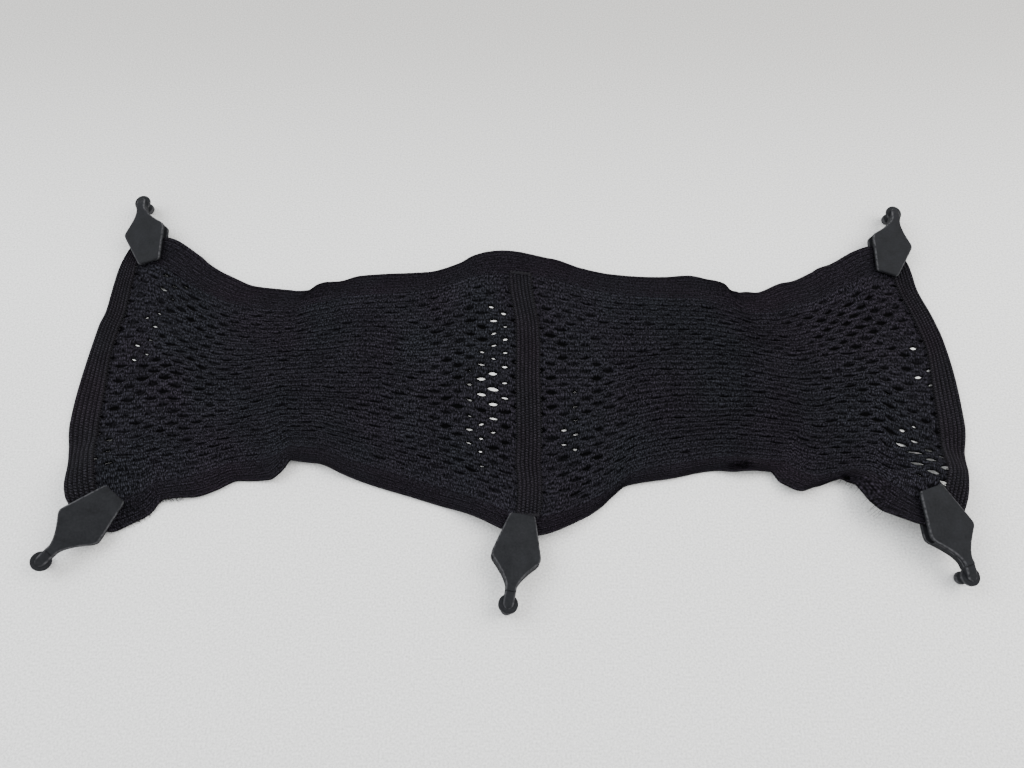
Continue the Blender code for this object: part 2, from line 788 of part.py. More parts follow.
def flattened(mesh, matrix):
    """The mesh cut off level with the surface, once the matrix has placed it."""
    cut = bmesh.new()
    cut.from_mesh(mesh)
    inverse = matrix.inverted()
    level = inverse @ Vector((0, 0, 0))
    up = (inverse.to_3x3() @ Vector((0, 0, 1))).normalized()
    bmesh.ops.bisect_plane(
        cut,
        geom=cut.verts[:] + cut.edges[:] + cut.faces[:],
        dist=MM / 1000,
        plane_co=level,
        plane_no=up,
        clear_inner=True,
    )
    bmesh.ops.holes_fill(cut, edges=[e for e in cut.edges if e.is_boundary], sides=0)
    bmesh.ops.triangulate(cut, faces=cut.faces)
    result = bpy.data.meshes.new(mesh.name)
    cut.to_mesh(result)
    cut.free()
    return result


# ---------------------------------------------------------------- materials and objects


def make_material(name, color, roughness):
    """A plain Principled material."""
    material = bpy.data.materials.new(name)
    material.use_nodes = True
    shader = material.node_tree.nodes["Principled BSDF"]
    shader.inputs["Base Color"].default_value = (*color, 1)
    shader.inputs["Roughness"].default_value = roughness
    shader.inputs["Metallic"].default_value = 0
    return material


def add_object(name, mesh, material, parent, matrix=None, round_piece=False):
    """Links an object with its material, under its parent."""
    mesh.materials.clear()
    mesh.materials.append(material)
    if round_piece:
        mesh.shade_smooth()
        mesh.set_sharp_from_angle(angle=math.radians(35))
    piece = bpy.data.objects.new(name, mesh)
    bpy.context.scene.collection.objects.link(piece)
    piece.parent = parent
    if matrix is not None:
        piece.matrix_local = matrix
    return piece


def centre_on_origin(frame, pieces):
    """Moves the frame so that the whole part stands centred over the origin."""
    bpy.context.view_layer.update()
    corners = [piece.matrix_world @ v.co for piece in pieces for v in piece.data.vertices]
    for axis in (0, 1):
        side = [corner[axis] for corner in corners]
        frame.location[axis] = -(min(side) + max(side)) / 2


def main():
    """Builds the net, its bands and its clips."""
    for old in list(bpy.data.objects):
        bpy.data.objects.remove(old)
    frame = bpy.data.objects.new("net_frame", None)
    bpy.context.scene.collection.objects.link(frame)

    knit = make_material("knitted net", (0.012, 0.012, 0.014), 0.9)
    elastic = make_material("ribbed elastic", (0.015, 0.015, 0.017), 0.85)
    moulded = make_material("moulded clip", (0.035, 0.036, 0.040), 0.55)

    all_rows = range(-HEM_ROWS, MESH_ROWS + HEM_ROWS + 1)
    mesh_rows = range(MESH_ROWS + 1)
    pieces = [add_object("net_panel", build_net_panel(), knit, frame)]
    for name, column, rows, ribs in (
        ("side_band_left", 0, all_rows, SIDE_RIBS),
        ("side_band_right", RIGHT_END, all_rows, SIDE_RIBS),
        ("centre_tape", LEFT_END, mesh_rows, TAPE_RIBS),
    ):
        mesh = build_ribbed_band(name, column, rows, ribs)
        pieces.append(add_object(name, mesh, elastic, frame))

    cover = build_cover_mesh()
    body = joined_body(build_shell_and_neck(), build_pin_mesh())
    for clip in CLIPS:
        place = clip_matrix(clip)
        place.translation *= MM
        own_body = flattened(body, place)
        pieces.append(add_object(clip.name + "_body", own_body, moulded, frame, place, True))
        pieces.append(add_object(clip.name + "_cover", cover, moulded, frame, place, True))
    centre_on_origin(frame, pieces)


main()
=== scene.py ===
"""Looks of the elastic luggage net: knitted mesh, hems, ribbed bands and moulded clips.

The net lies relaxed on a flat surface. X runs along it, Y from front to rear and Z up. Sizes
are worked out in millimetres in the net's own layout, and moved into the frame at the end.
"""

import sys

import logging
import math
from dataclasses import dataclass
from enum import Enum
from functools import reduce

import bpy
import numpy as np
from mathutils import Euler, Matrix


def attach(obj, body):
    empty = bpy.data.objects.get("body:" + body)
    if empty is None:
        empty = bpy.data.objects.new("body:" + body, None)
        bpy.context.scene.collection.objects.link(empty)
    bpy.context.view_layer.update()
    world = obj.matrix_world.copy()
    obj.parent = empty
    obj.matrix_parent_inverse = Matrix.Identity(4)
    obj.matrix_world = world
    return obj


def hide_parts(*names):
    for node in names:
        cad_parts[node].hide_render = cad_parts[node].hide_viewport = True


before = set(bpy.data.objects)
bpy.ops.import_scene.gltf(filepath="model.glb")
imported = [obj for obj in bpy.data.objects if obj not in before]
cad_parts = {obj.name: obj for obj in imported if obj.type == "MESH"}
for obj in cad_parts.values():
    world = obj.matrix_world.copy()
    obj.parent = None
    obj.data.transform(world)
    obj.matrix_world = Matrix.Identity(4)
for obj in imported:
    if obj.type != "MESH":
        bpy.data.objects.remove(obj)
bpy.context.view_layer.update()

MM = 0.001  # one millimetre, in metres
LAYOUT_SHIFT = (-3.138, 0.774)  # layout to frame, in millimetres
LOG = logging.getLogger("luggage_net")

Array = np.ndarray


# ---------------------------------------------------------------- the net's outline and folds


def outline(*points: tuple[float, float]) -> Array:
    """A line on the layout as an array, from its points' x and y in millimetres."""
    return np.array(points, float)


# From the front left corner to the front right corner
FRONT_EDGE = outline(
    (-192, -73), (-182.5, -77), (-172, -72), (-166.5, -68.5), (-161, -61.5), (-146, -60),
    (-138, -57), (-127.5, -52), (-113, -52), (-108, -49), (-106, -46.5), (-103.5, -42.8),
    (-92, -44), (-79, -49.5), (-63, -55), (-42, -61.5), (-24, -67.5), (-5, -77), (3, -80.5),
    (12.5, -79.5), (33, -70.5), (41, -65), (47.5, -59), (53.5, -54.5), (74, -51),
    (96, -47), (105, -48.5), (121, -48), (124.5, -53.5), (133, -58.5), (140, -56.1),
    (152.5, -52.5), (157, -54.5), (161, -65.5), (166, -71), (180.5, -77), (190, -78.5),
)  # fmt: skip
# Rear left corner to rear right corner
REAR_EDGE = outline(
    (-196.5, 85.5), (-187, 85.5), (-168, 76), (-162.5, 71.5), (-149, 64), (-136, 58),
    (-118.5, 55.4), (-107, 54.1), (-102.3, 57.3), (-98.5, 59.3), (-90, 61.6), (-81, 64.7),
    (-45, 67), (-28, 73), (-21, 77), (-12.5, 79), (-4.5, 79.5), (21.5, 76), (37.5, 69.5),
    (52.5, 66), (81, 63.6), (94, 64.5), (105, 61.8), (111, 58.2), (114.5, 54.3),
    (118, 52.6), (124.5, 54), (128, 53.8), (143.5, 60), (148, 60.8), (160, 66.5),
    (165, 69.5), (170, 70.7), (183.5, 77), (193, 79.5), (201, 79),
)  # fmt: skip
# Front left corner to rear left corner, and front right corner to rear right corner
LEFT_EDGE = outline(
    (-192, -73), (-198.5, -66.5), (-205.5, -49), (-211, -37), (-214.5, -22), (-215.2, -6),
    (-213.8, 33), (-212.2, 42), (-211.5, 62), (-208, 77.5), (-203, 84), (-196.5, 85.5),
)  # fmt: skip
RIGHT_EDGE = outline(
    (190, -78.5), (198, -75), (201.5, -69.5), (207.5, -56), (215, -39), (219.5, -23),
    (221.5, 9), (221, 23.5), (219, 37), (214.5, 54), (212.5, 69), (208.5, 75.5), (201, 79),
)  # fmt: skip
# The side bands' inner edges between the hems' edges, from front to rear
LEFT_INNER = outline(
    (-186, -66), (-188.3, -57.8), (-191.8, -45), (-197.8, -33), (-200.3, -22.5),
    (-202.2, -1.5), (-203.8, 19.5), (-203.3, 30), (-202, 42), (-202.3, 57), (-201.8, 69),
)  # fmt: skip
RIGHT_INNER = outline(
    (188.5, -70), (193.4, -61.3), (199.8, -45), (205.4, -32), (207, -22.5), (209, -1.5),
    (211, 17.5), (209.4, 33), (206, 47), (204, 55), (202, 66),
)  # fmt: skip


@dataclass(frozen=True)
class Spot:
    """A soft ellipse on the net, the way it runs, and how strongly it acts.

    A fold's strength is its height in millimetres, below zero for a trough.
    """

    x: float
    y: float
    half_length: float
    half_width: float
    turn_deg: float
    strength: float

    def shares(self, x: Array, y: Array) -> tuple[Array, Array]:
        """How far places lie along and across it, as shares of its half length and width."""
        cos, sin = math.cos(math.radians(self.turn_deg)), math.sin(math.radians(self.turn_deg))
        along = (x - self.x) * cos + (y - self.y) * sin
        across = (y - self.y) * cos - (x - self.x) * sin
        return along / self.half_length, across / self.half_width


def spots(*rows: tuple[float, ...]) -> tuple[Spot, ...]:
    """Spots from rows of x, y, half length, half width, turn and strength."""
    return tuple(Spot(*row) for row in rows)


FOLDS = spots(
    (110, -48, 18, 9, 0, 3.5), (134, -56, 16, 12, -10, 4.5), (154, -52, 12, 8, 10, 4.0),
    (-108, -46, 15, 12, 50, 3.5), (-160, -61, 14, 10, 20, 2.5), (114, 56, 14, 9, -35, 3.0),
    (-103, 57, 14, 9, 30, 2.5), (-6, 76, 28, 11, 0, 3.0), (-170, 10, 60, 18, 100, 1.5),
    (-118, 5, 50, 20, 80, 2.0), (-70, 8, 52, 22, 95, 1.6), (-24, -5, 45, 13, 84, 1.2),
    (32, -15, 42, 14, 105, 1.8), (75, 5, 55, 24, 88, 1.8), (128, 5, 45, 20, 95, 2.2),
    (183, -5, 55, 16, 80, 1.5),
)  # fmt: skip
# Short creases, laid over the folds
CREASES = spots(
    (109, -43.5, 12, 5.5, 0, 3.5), (163, -55, 14, 5, -60, 3.5), (-106, -41, 9, 5, 40, 2.5),
    (-112, 43, 22, 3.5, 36, -1.6), (117, 50, 7, 4, -48, 1.8), (-86, -46, 20, 9, -12, 2.5),
    (107, -45.8, 9, 2.4, 0, -6.0), (156, -52.5, 8, 2.4, -35, -4.0),
    (116, 51.5, 6, 2.4, -58, -2.0),
)  # fmt: skip


@dataclass(frozen=True)
class ClipPlace:
    """Where a clip's cut end lies, the way it points, and how its pin end and side are raised."""

    name: str
    x: float
    y: float
    yaw_deg: float
    pitch_deg: float
    roll_deg: float


CLIPS = (
    ClipPlace("clip_front_left", -182.5, -59.5, -127.5, 3.4, -26.5),
    ClipPlace("clip_front_middle", 4.3, -71, -98.9, 5, -5),
    ClipPlace("clip_front_right", 185.3, -60.6, -71, -8.6, -2.3),
    ClipPlace("clip_rear_left", -193, 71, 106.5, 7.9, -7.7),
    ClipPlace("clip_rear_right", 198, 63.5, 73.4, 7.8, 8.5),
)


# ---------------------------------------------------------------- shared curves


def smooth_through(knots: Array, values: Array, at: Array) -> Array:
    """A curve through the given points that doesn't overshoot between them.

    Each stretch is a cubic, and its slopes are harmonic means of the chords' slopes.

    Args:
        knots: rising places of the points.
        values: the curve's value at each.
        at: places to work it out at.

    Returns:
        The curve's values, in the shape of at.
    """
    steps = np.diff(knots)
    chords = np.diff(values) / steps
    slopes = np.zeros(len(knots))
    same_way = chords[:-1] * chords[1:] > 0
    before, after = chords[:-1][same_way], chords[1:][same_way]
    slopes[1:-1][same_way] = 2 * before * after / (before + after)
    slopes[0], slopes[-1] = chords[0], chords[-1]
    at = np.clip(np.asarray(at, float), knots[0], knots[-1])
    left = np.clip(np.searchsorted(knots, at, side="right") - 1, 0, len(knots) - 2)
    step = steps[left]
    u = (at - knots[left]) / step
    start = values[left] * (1 + 2 * u) * (1 - u) ** 2 + values[left + 1] * u**2 * (3 - 2 * u)
    return start + step * (slopes[left] * u * (1 - u) ** 2 - slopes[left + 1] * u**2 * (1 - u))


def smooth_step(value: Array) -> Array:
    """0 below 0, 1 above 1, and the cubic 3v² − 2v³ between."""
    value = np.clip(value, 0, 1)
    return value * value * (3 - 2 * value)


def lengths(line: Array) -> Array:
    """The length of a line up to each of its points."""
    return np.concatenate([[0], np.cumsum(np.linalg.norm(np.diff(line, axis=0), axis=1))])


def ripple(x: Array, y: Array, wave: float, seed: float) -> Array:
    """A calm, never quite repeating unevenness from −1 to 1.

    Three sines of unlike lengths and directions, added up and divided by three.

    Args:
        x: places along the net, in millimetres.
        y: places across it.
        wave: the rough length of a wave, in millimetres.
        seed: shifts the waves.

    Returns:
        The unevenness at each place.
    """
    k = 2 * math.pi / wave
    first = np.sin(k * (x + 0.31 * y) + seed)
    second = np.sin(k * (0.63 * y - 0.41 * x) + 2.1 * seed)
    third = np.sin(k * 1.7 * (0.8 * x - 0.5 * y) + 3.7 * seed)
    return (first + second + third) / 3


# ---------------------------------------------------------------- the clip's own sizes


@dataclass(frozen=True)
class ClipSizes:
    """Sizes of the moulded clip, from its cut end at 0 to its pin's axis."""

    pin_at: float = 40.0
    widest_at: float = 20.5
    half_cut: float = 5.8
    half_widest: float = 11.4
    flare_end: float = 33.5
    flare_hollow: float = 1.5
    half_neck: float = 2.4
    shell: float = 1.7
    slot: float = 3.4
    net_lift: float = 0.4
    shoulder_at: float = 22.0
    cover_tip: float = 35.5
    neck_low: float = 1.6
    neck_high: float = 6.4
    pin_foot: float = -6.2
    pin_foot_radius: float = 2.1
    pressed_flat: float = 0.2
    corner_round: float = 0.9
    cover_bevel: float = 1.2
    shell_bevel: float = 0.8
    dip_at: float = 35.6

    def half_width(self, along: Array) -> Array:
        """Half the shell's width: a line out to the widest point, then a hollow flare.

        The two are joined by a soft minimum, so that the corner is rounded.
        """
        line = self.half_cut + (self.half_widest - self.half_cut) * along / self.widest_at
        left = np.clip((self.flare_end - along) / (self.flare_end - self.widest_at), 0, None)
        flare = self.half_neck + (self.half_widest - self.half_neck) * left**self.flare_hollow
        k = self.corner_round
        soft = -k * np.log(np.exp(-line / k) + np.exp(-flare / k))
        return np.maximum(soft, self.half_neck)

    def turn(self, place: ClipPlace) -> Array:
        """The clip's axes in the layout, one to a column."""
        angles = (place.roll_deg, -place.pitch_deg, place.yaw_deg)
        return np.array(Euler([math.radians(angle) for angle in angles]).to_matrix())

    def origin(self, place: ClipPlace) -> Array:
        """The cut end's middle, raised so that the pin's head stands on the surface."""
        turn = self.turn(place)
        down = turn @ np.array((self.pin_at, 0, self.pin_foot))
        lowest = down[2] - self.pin_foot_radius * math.hypot(turn[2, 0], turn[2, 1])
        return np.array((place.x, place.y, -lowest - self.pressed_flat))


CLIP_SIZES = ClipSizes()
# Places along the neck's dipped end, and the heights of its upper and its lower face there
DIP_TOP = ((35.6, 38.2, 40.0, 41.6, 42.4), (6.4, 5.6, 4.6, 4.0, 3.5))
DIP_FOOT = ((35.6, 40.0, 42.4), (1.6, 2.2, 2.2))
# The pin's profile from flange to head: radius, and height over the shell's lower face
PIN_PROFILE = outline(
    (0.4, 3.25), (3.6, 3.25), (4.05, 3.1), (4.3, 2.7), (4.3, 1.9), (4.15, 1.6), (3.7, 1.5),
    (2.1, 1.45), (1.85, 1.2), (1.8, 0.4), (1.8, -1.2), (1.85, -2.0), (2.1, -2.5),
    (2.55, -2.85), (2.8, -3.3), (2.85, -4.2), (2.75, -5.1), (2.45, -5.75), (2.0, -6.15),
    (0.4, -6.2),
)  # fmt: skip


# ---------------------------------------------------------------- the net's surface


@dataclass(frozen=True)
class NetSurface:
    """The lying net as a function of s along it and t across it, both from 0 to 1."""

    half_length: float = 218.0
    band: float = 12.5
    tape: float = 11.5
    hem_front: float = 11.0
    hem_rear: float = 15.0
    calm_reach: float = 18.0
    wave_fade: float = 4.0
    grip_margin: float = 3.0
    grip_fade: float = 26.0
    front_stops: tuple[float, ...] = (-182.0, 5.6, 180.0)
    rear_stops: tuple[float, ...] = (-189.5, 5.2, 193.0)

    @property
    def side_left(self) -> float:
        """The left band's inner edge, as s."""
        return 0.5 * self.band / self.half_length

    @property
    def side_right(self) -> float:
        """The right band's inner edge, as s."""
        return 1 - self.side_left

    @property
    def tape_half(self) -> float:
        """Half the tape's width, as s."""
        return 0.25 * self.tape / self.half_length

    def long_edge(self, edge: Array, inner: tuple, s: Array) -> tuple:
        """The front or rear edge at s: its calm course, and its small waves on that.

        The calm course is the edge averaged over the calm reach to either side, tilted so
        that it meets both corners.

        Args:
            edge: the edge's points.
            inner: x on it of the left band's inner edge, the middle line and the right band's.
            s: places along the net.

        Returns:
            The calm points and the waves on them, with x and y in their last axis.
        """
        stops = (edge[0, 0], *inner, edge[-1, 0])
        x = np.interp(s, (0, self.side_left, 0.5, self.side_right, 1), stops)

        def average(at: Array) -> Array:
            """The edge's mean height about each place."""
            reach = np.linspace(-self.calm_reach, self.calm_reach, 9)
            tall = [smooth_through(edge[:, 0], edge[:, 1], at + step) for step in reach]
            return np.mean(tall, axis=0)

        start, end = edge[0, 1] - average(edge[0, 0]), edge[-1, 1] - average(edge[-1, 0])
        share = (x - edge[0, 0]) / (edge[-1, 0] - edge[0, 0])
        calm = average(x) + start + (end - start) * share
        waves = smooth_through(edge[:, 0], edge[:, 1], x) - calm
        return np.stack([x, calm], -1), np.stack([np.zeros_like(x), waves], -1)

    def front(self, s: Array) -> tuple:
        """The front edge at s, calm course and waves."""
        return self.long_edge(FRONT_EDGE, self.front_stops, s)

    def rear(self, s: Array) -> tuple:
        """The rear edge at s, calm course and waves."""
        return self.long_edge(REAR_EDGE, self.rear_stops, s)

    def side(self, line: Array, t: Array) -> Array:
        """A line from front to rear at the share t of its length."""
        run = lengths(line)
        at = np.asarray(t) * run[-1]
        return np.stack([smooth_through(run, line[:, axis], at) for axis in (0, 1)], -1)

    def plan(self, s: Array, t: Array) -> Array:
        """Plan position at s and t: three strips, each a Coons patch on its four edges.

        The strips are the left band's, the open net and the right band's. The long edges'
        small waves die out with a power of the distance to the far edge.
        """
        s, t = np.broadcast_arrays(np.asarray(s, float), np.asarray(t, float))
        front, front_waves = self.front(s)
        rear, rear_waves = self.rear(s)
        ends = np.array((0, self.side_left, self.side_right, 1))
        front_ends, rear_ends = self.front(ends)[0], self.rear(ends)[0]
        lines = (
            LEFT_EDGE,
            np.array([front_ends[1], *LEFT_INNER, rear_ends[1]]),
            np.array([front_ends[2], *RIGHT_INNER, rear_ends[2]]),
            RIGHT_EDGE,
        )
        strip = np.clip(np.searchsorted(ends, s, side="right") - 1, 0, 2)
        u = ((s - ends[strip]) / (ends[strip + 1] - ends[strip]))[..., None]
        left, right = np.zeros(front.shape), np.zeros(front.shape)
        for i in range(3):
            inside = strip == i
            left[inside] = self.side(lines[i], t[inside])
            right[inside] = self.side(lines[i + 1], t[inside])
        t = t[..., None]
        near = (1 - u) * front_ends[strip] + u * front_ends[strip + 1]
        far = (1 - u) * rear_ends[strip] + u * rear_ends[strip + 1]
        calm = (1 - t) * (front - near) + t * (rear - far) + (1 - u) * left + u * right
        shown = np.clip(1 - t, 0, 1) ** self.wave_fade * front_waves
        return calm + shown + np.clip(t, 0, 1) ** self.wave_fade * rear_waves

    def tall(self, s: Array) -> Array:
        """How far the net reaches from front to rear at s."""
        return np.linalg.norm(self.rear(s)[0] - self.front(s)[0], axis=-1)

    def tall_at(self, s: float) -> float:
        """The same at one place."""
        return float(self.tall(np.array([s]))[0])

    def grip(self, place: ClipPlace, x: Array, y: Array) -> tuple:
        """The plane of a clip's slot floor over (x, y), and how firmly the clip holds there.

        Past the clip's sides and cut end the plane runs on level.
        """
        turn, sizes = CLIP_SIZES.turn(place), CLIP_SIZES
        normal = turn[:, 2]
        floor = sizes.origin(place) + normal * (sizes.shell + sizes.net_lift)
        ahead = turn[:2, 0] / np.linalg.norm(turn[:2, 0])
        aside = np.array((-ahead[1], ahead[0]))
        along = (x - floor[0]) * ahead[0] + (y - floor[1]) * ahead[1]
        across = (x - floor[0]) * aside[0] + (y - floor[1]) * aside[1]
        near_across = np.clip(across, -sizes.half_widest, sizes.half_widest)
        fall = np.maximum(along, -self.grip_margin) * (ahead @ normal[:2])
        fall = fall + near_across * (aside @ normal[:2])
        past = np.maximum(np.abs(across) - sizes.half_widest, 0)
        outside = np.hypot(np.minimum(along, 0), past)
        hold = 1 - smooth_step((outside - self.grip_margin) / self.grip_fade)
        return floor[2] - fall / normal[2], hold

    def height(self, x: Array, y: Array) -> Array:
        """Height of the underside: raised cosines for the folds, and the planes of the clips."""
        total = np.zeros_like(x)
        for fold in FOLDS + CREASES:
            along, across = fold.shares(x, y)
            a, b = np.clip(along, -1, 1) * math.pi, np.clip(across, -1, 1) * math.pi
            total = total + fold.strength * (1 + np.cos(a)) * (1 + np.cos(b)) / 4
        for place in CLIPS:
            plane, hold = self.grip(place, x, y)
            total = np.maximum((1 - hold) * total + hold * plane, 0)
        return total

    def points(self, s: Array, t: Array, lift: Array | float) -> Array:
        """Points of the net raised by lift over its underside, in millimetres of the layout."""
        plan = self.plan(s, t)
        high = self.height(plan[..., 0], plan[..., 1]) + lift
        return np.concatenate([plan, high[..., None]], axis=-1)


NET = NetSurface()


# ---------------------------------------------------------------- finishes


class Slot(Enum):
    """The material slots that the finishes name."""

    KNIT = "knit"
    ELASTIC = "elastic"
    MOULDED = "moulded"


class Nodes:
    """Short hand for one node tree, a material's or a group's."""

    def __init__(self, tree: bpy.types.NodeTree) -> None:
        """Keeps the tree that the nodes go into."""
        self.tree = tree

    def add(self, kind: str, **settings: object) -> bpy.types.Node:
        """A new node of that kind, with its settings."""
        node = self.tree.nodes.new(kind)
        for name, value in settings.items():
            setattr(node, name, value)
        return node

    def put(self, value: object, socket: bpy.types.NodeSocket) -> None:
        """Feeds a socket from another one, or gives it a plain value."""
        if isinstance(value, bpy.types.NodeSocket):
            self.tree.links.new(value, socket)
        else:
            socket.default_value = value

    def math(self, operation: str, *values: object) -> bpy.types.NodeSocket:
        """The result of a sum on sockets or plain numbers."""
        node = self.add("ShaderNodeMath", operation=operation)
        for value, socket in zip(values, node.inputs):
            self.put(value, socket)
        return node.outputs[0]

    def plus(self, *values: object) -> bpy.types.NodeSocket:
        """Two values added."""
        return self.math("ADD", *values)

    def minus(self, *values: object) -> bpy.types.NodeSocket:
        """The second value taken from the first."""
        return self.math("SUBTRACT", *values)

    def times(self, *values: object) -> bpy.types.NodeSocket:
        """Two values multiplied."""
        return self.math("MULTIPLY", *values)

    def arches(self, value: object) -> bpy.types.NodeSocket:
        """|sin|, one arch to each whole number."""
        return self.math("ABSOLUTE", self.math("SINE", self.times(value, math.pi)))

    def clamp(self, value: object) -> bpy.types.NodeSocket:
        """A value held between 0 and 1."""
        node = self.add("ShaderNodeClamp")
        self.put(value, node.inputs[0])
        return node.outputs[0]

    def noise(self, vector: object, scale: float, detail: float) -> bpy.types.NodeSocket:
        """A noise texture's value on that vector."""
        node = self.add("ShaderNodeTexNoise")
        node.inputs["Scale"].default_value = scale
        node.inputs["Detail"].default_value = detail
        self.put(vector, node.inputs["Vector"])
        return node.outputs["Fac"]

    def mix(self, factor: object, first: object, second: object,
            blend: str = "MIX") -> bpy.types.NodeSocket:  # fmt: skip
        """A mix of two colours, each a socket or a plain colour."""
        node = self.add("ShaderNodeMix", data_type="RGBA", blend_type=blend)
        self.put(factor, node.inputs[0])
        for value, socket in ((first, node.inputs[6]), (second, node.inputs[7])):
            self.put(value if isinstance(value, bpy.types.NodeSocket) else (*value, 1), socket)
        return node.outputs[2]

    def use(self, group: bpy.types.NodeTree, **values: object) -> bpy.types.NodeOutputs:
        """The outputs of a group whose inputs take the given values."""
        node = self.add("ShaderNodeGroup")
        node.node_tree = group
        for name, value in values.items():
            self.put(value, node.inputs[name])
        return node.outputs


def new_group(name: str, inputs: str, outputs: str) -> tuple:
    """A shader node group with named sockets, of which Place is a vector.

    Args:
        name: the group's name.
        inputs: its input sockets' names.
        outputs: its output sockets' names.

    Returns:
        The group, its Nodes, its inputs and its outputs.
    """
    group = bpy.data.node_groups.new(name, "ShaderNodeTree")
    for side, labels in (("INPUT", inputs), ("OUTPUT", outputs)):
        for label in labels.split():
            kind = "NodeSocketVector" if label == "Place" else "NodeSocketFloat"
            group.interface.new_socket(name=label, in_out=side, socket_type=kind)
    nodes = Nodes(group)
    given = nodes.add("NodeGroupInput").outputs
    return group, nodes, given, nodes.add("NodeGroupOutput").inputs


def knit_group() -> bpy.types.NodeTree:
    """Knitted loops: rows of small arches, each row set off by half a loop from the last.

    Height is |sin| along times |sin| across, both made uneven by a noise. Shade is the same
    times a fine and a broad noise, for the colour: painted shade between the loops, painted light
    on their tops and painted glints from the fine noise. Cast is a wide noise for its hue.
    """
    group, nodes, given, made = new_group(
        "knitted_loops", "Place Along Across Uneven Fleck", "Height Shade Cast"
    )
    place = given["Place"]
    parts = nodes.add("ShaderNodeSeparateXYZ")
    nodes.put(place, parts.inputs[0])
    drift = nodes.times(nodes.minus(nodes.noise(place, 420, 2), 0.5), given["Uneven"])
    across = nodes.plus(nodes.math("DIVIDE", parts.outputs["Y"], given["Across"]), drift)
    along = nodes.math("DIVIDE", parts.outputs["X"], given["Along"])
    along = nodes.plus(along, nodes.times(nodes.math("FLOOR", across), 0.5))
    arch = nodes.math("POWER", nodes.arches(nodes.plus(along, drift)), 0.9)
    high = nodes.times(arch, nodes.math("POWER", nodes.arches(across), 0.6))
    nodes.put(high, made["Height"])
    fine = nodes.minus(nodes.noise(place, 1200, 2), 0.5)
    fibres = nodes.plus(nodes.times(fine, given["Fleck"]), 0.48)
    shade = nodes.times(nodes.plus(high, 0.1), fibres)
    shade = nodes.times(shade, nodes.plus(nodes.noise(place, 90, 4), 0.5))
    nodes.put(nodes.clamp(shade), made["Shade"])
    wide = nodes.minus(nodes.noise(place, 24, 2), 0.38)
    nodes.put(nodes.times(wide, 4), made["Cast"])
    return group


def lint_group() -> bpy.types.NodeTree:
    """A mask of sparse, tiny fibres: stretched noise where it tops a high threshold."""
    group, nodes, given, made = new_group("loose_lint", "Place Amount", "Mask")
    stretch = nodes.add("ShaderNodeMapping")
    stretch.inputs["Rotation"].default_value = (0.4, 0.2, 0.7)
    stretch.inputs["Scale"].default_value = (1.0, 0.22, 1.0)
    nodes.put(given["Place"], stretch.inputs["Vector"])
    level = nodes.minus(0.86, nodes.times(given["Amount"], 0.1))
    over = nodes.times(nodes.minus(nodes.noise(stretch.outputs[0], 1900, 1), level), 30)
    nodes.put(nodes.clamp(over), made["Mask"])
    return group


def moulded_group() -> bpy.types.NodeTree:
    """Moulded plastic: a fine grain, broad and fine clouds, and a painted highlight along the
    edges.

    Cloud is two noises added up, and the edge's own mask times a patchy noise places the painted
    highlight on the edges.
    """
    group, nodes, given, made = new_group("moulded_surface", "Place Edge", "Grain Cloud Scuff")
    place = given["Place"]
    nodes.put(nodes.noise(place, 5200, 2), made["Grain"])
    cloud = nodes.plus(nodes.noise(place, 150, 3), nodes.noise(place, 1100, 3))
    nodes.put(nodes.minus(cloud, 0.5), made["Cloud"])
    # painted highlight: the edges are painted lighter in patches, where light catches the bevels
    patchy = nodes.times(nodes.minus(nodes.noise(place, 700, 4), 0.32), 4)
    nodes.put(nodes.clamp(nodes.times(patchy, given["Edge"])), made["Scuff"])
    return group


class Groups:
    """The shared node groups, each built once."""

    def __init__(self) -> None:
        """Builds the groups."""
        self.knit = knit_group()
        self.lint = lint_group()
        self.moulded = moulded_group()


def new_material(name: str, roughness: float, specular: float) -> tuple:
    """A plain material.

    Args:
        name: the material's name.
        roughness: its roughness, the same all over.
        specular: its specular level.

    Returns:
        The material, its Nodes, and its shader's inputs.
    """
    material = bpy.data.materials.new(name)
    material.use_nodes = True
    shader = material.node_tree.nodes["Principled BSDF"].inputs
    shader["Roughness"].default_value = roughness
    shader["Specular IOR Level"].default_value = specular
    return material, Nodes(material.node_tree), shader


def raise_surface(nodes: Nodes, height: object, strength: float, tall: float,
                  shader: bpy.types.NodeInputs) -> None:  # fmt: skip
    """Feeds a shader's normal from a height of that many millimetres."""
    bump = nodes.add("ShaderNodeBump")
    bump.inputs["Strength"].default_value = strength
    bump.inputs["Distance"].default_value = tall * MM
    nodes.put(height, bump.inputs["Height"])
    nodes.put(bump.outputs[0], shader["Normal"])


def shaded(colour: tuple[float, ...], *shares: float) -> tuple[float, ...]:
    """A colour times one share, or times a share for each channel."""
    return tuple(a * b for a, b in zip(colour, shares * (3 // len(shares))))


LINT_COLOUR = (0.07, 0.073, 0.085)
WARM_CAST = (1.12, 0.92, 1.0)  # how a yarn's colour shifts where its hue is warmest
# painted shade between yarns
GAP_SHADE = 0.25  # between yarns, as a share of their deep colour
CLOUD_SHADES = (0.55, 1.4)  # darkest and lightest plastic, as shares of its colour
CLOUD_ROUGHNESS = 0.16  # how much rougher its lightest parts are
MOULD_GRAIN = 0.03  # millimetres high
GRAIN_STRENGTH = 0.35


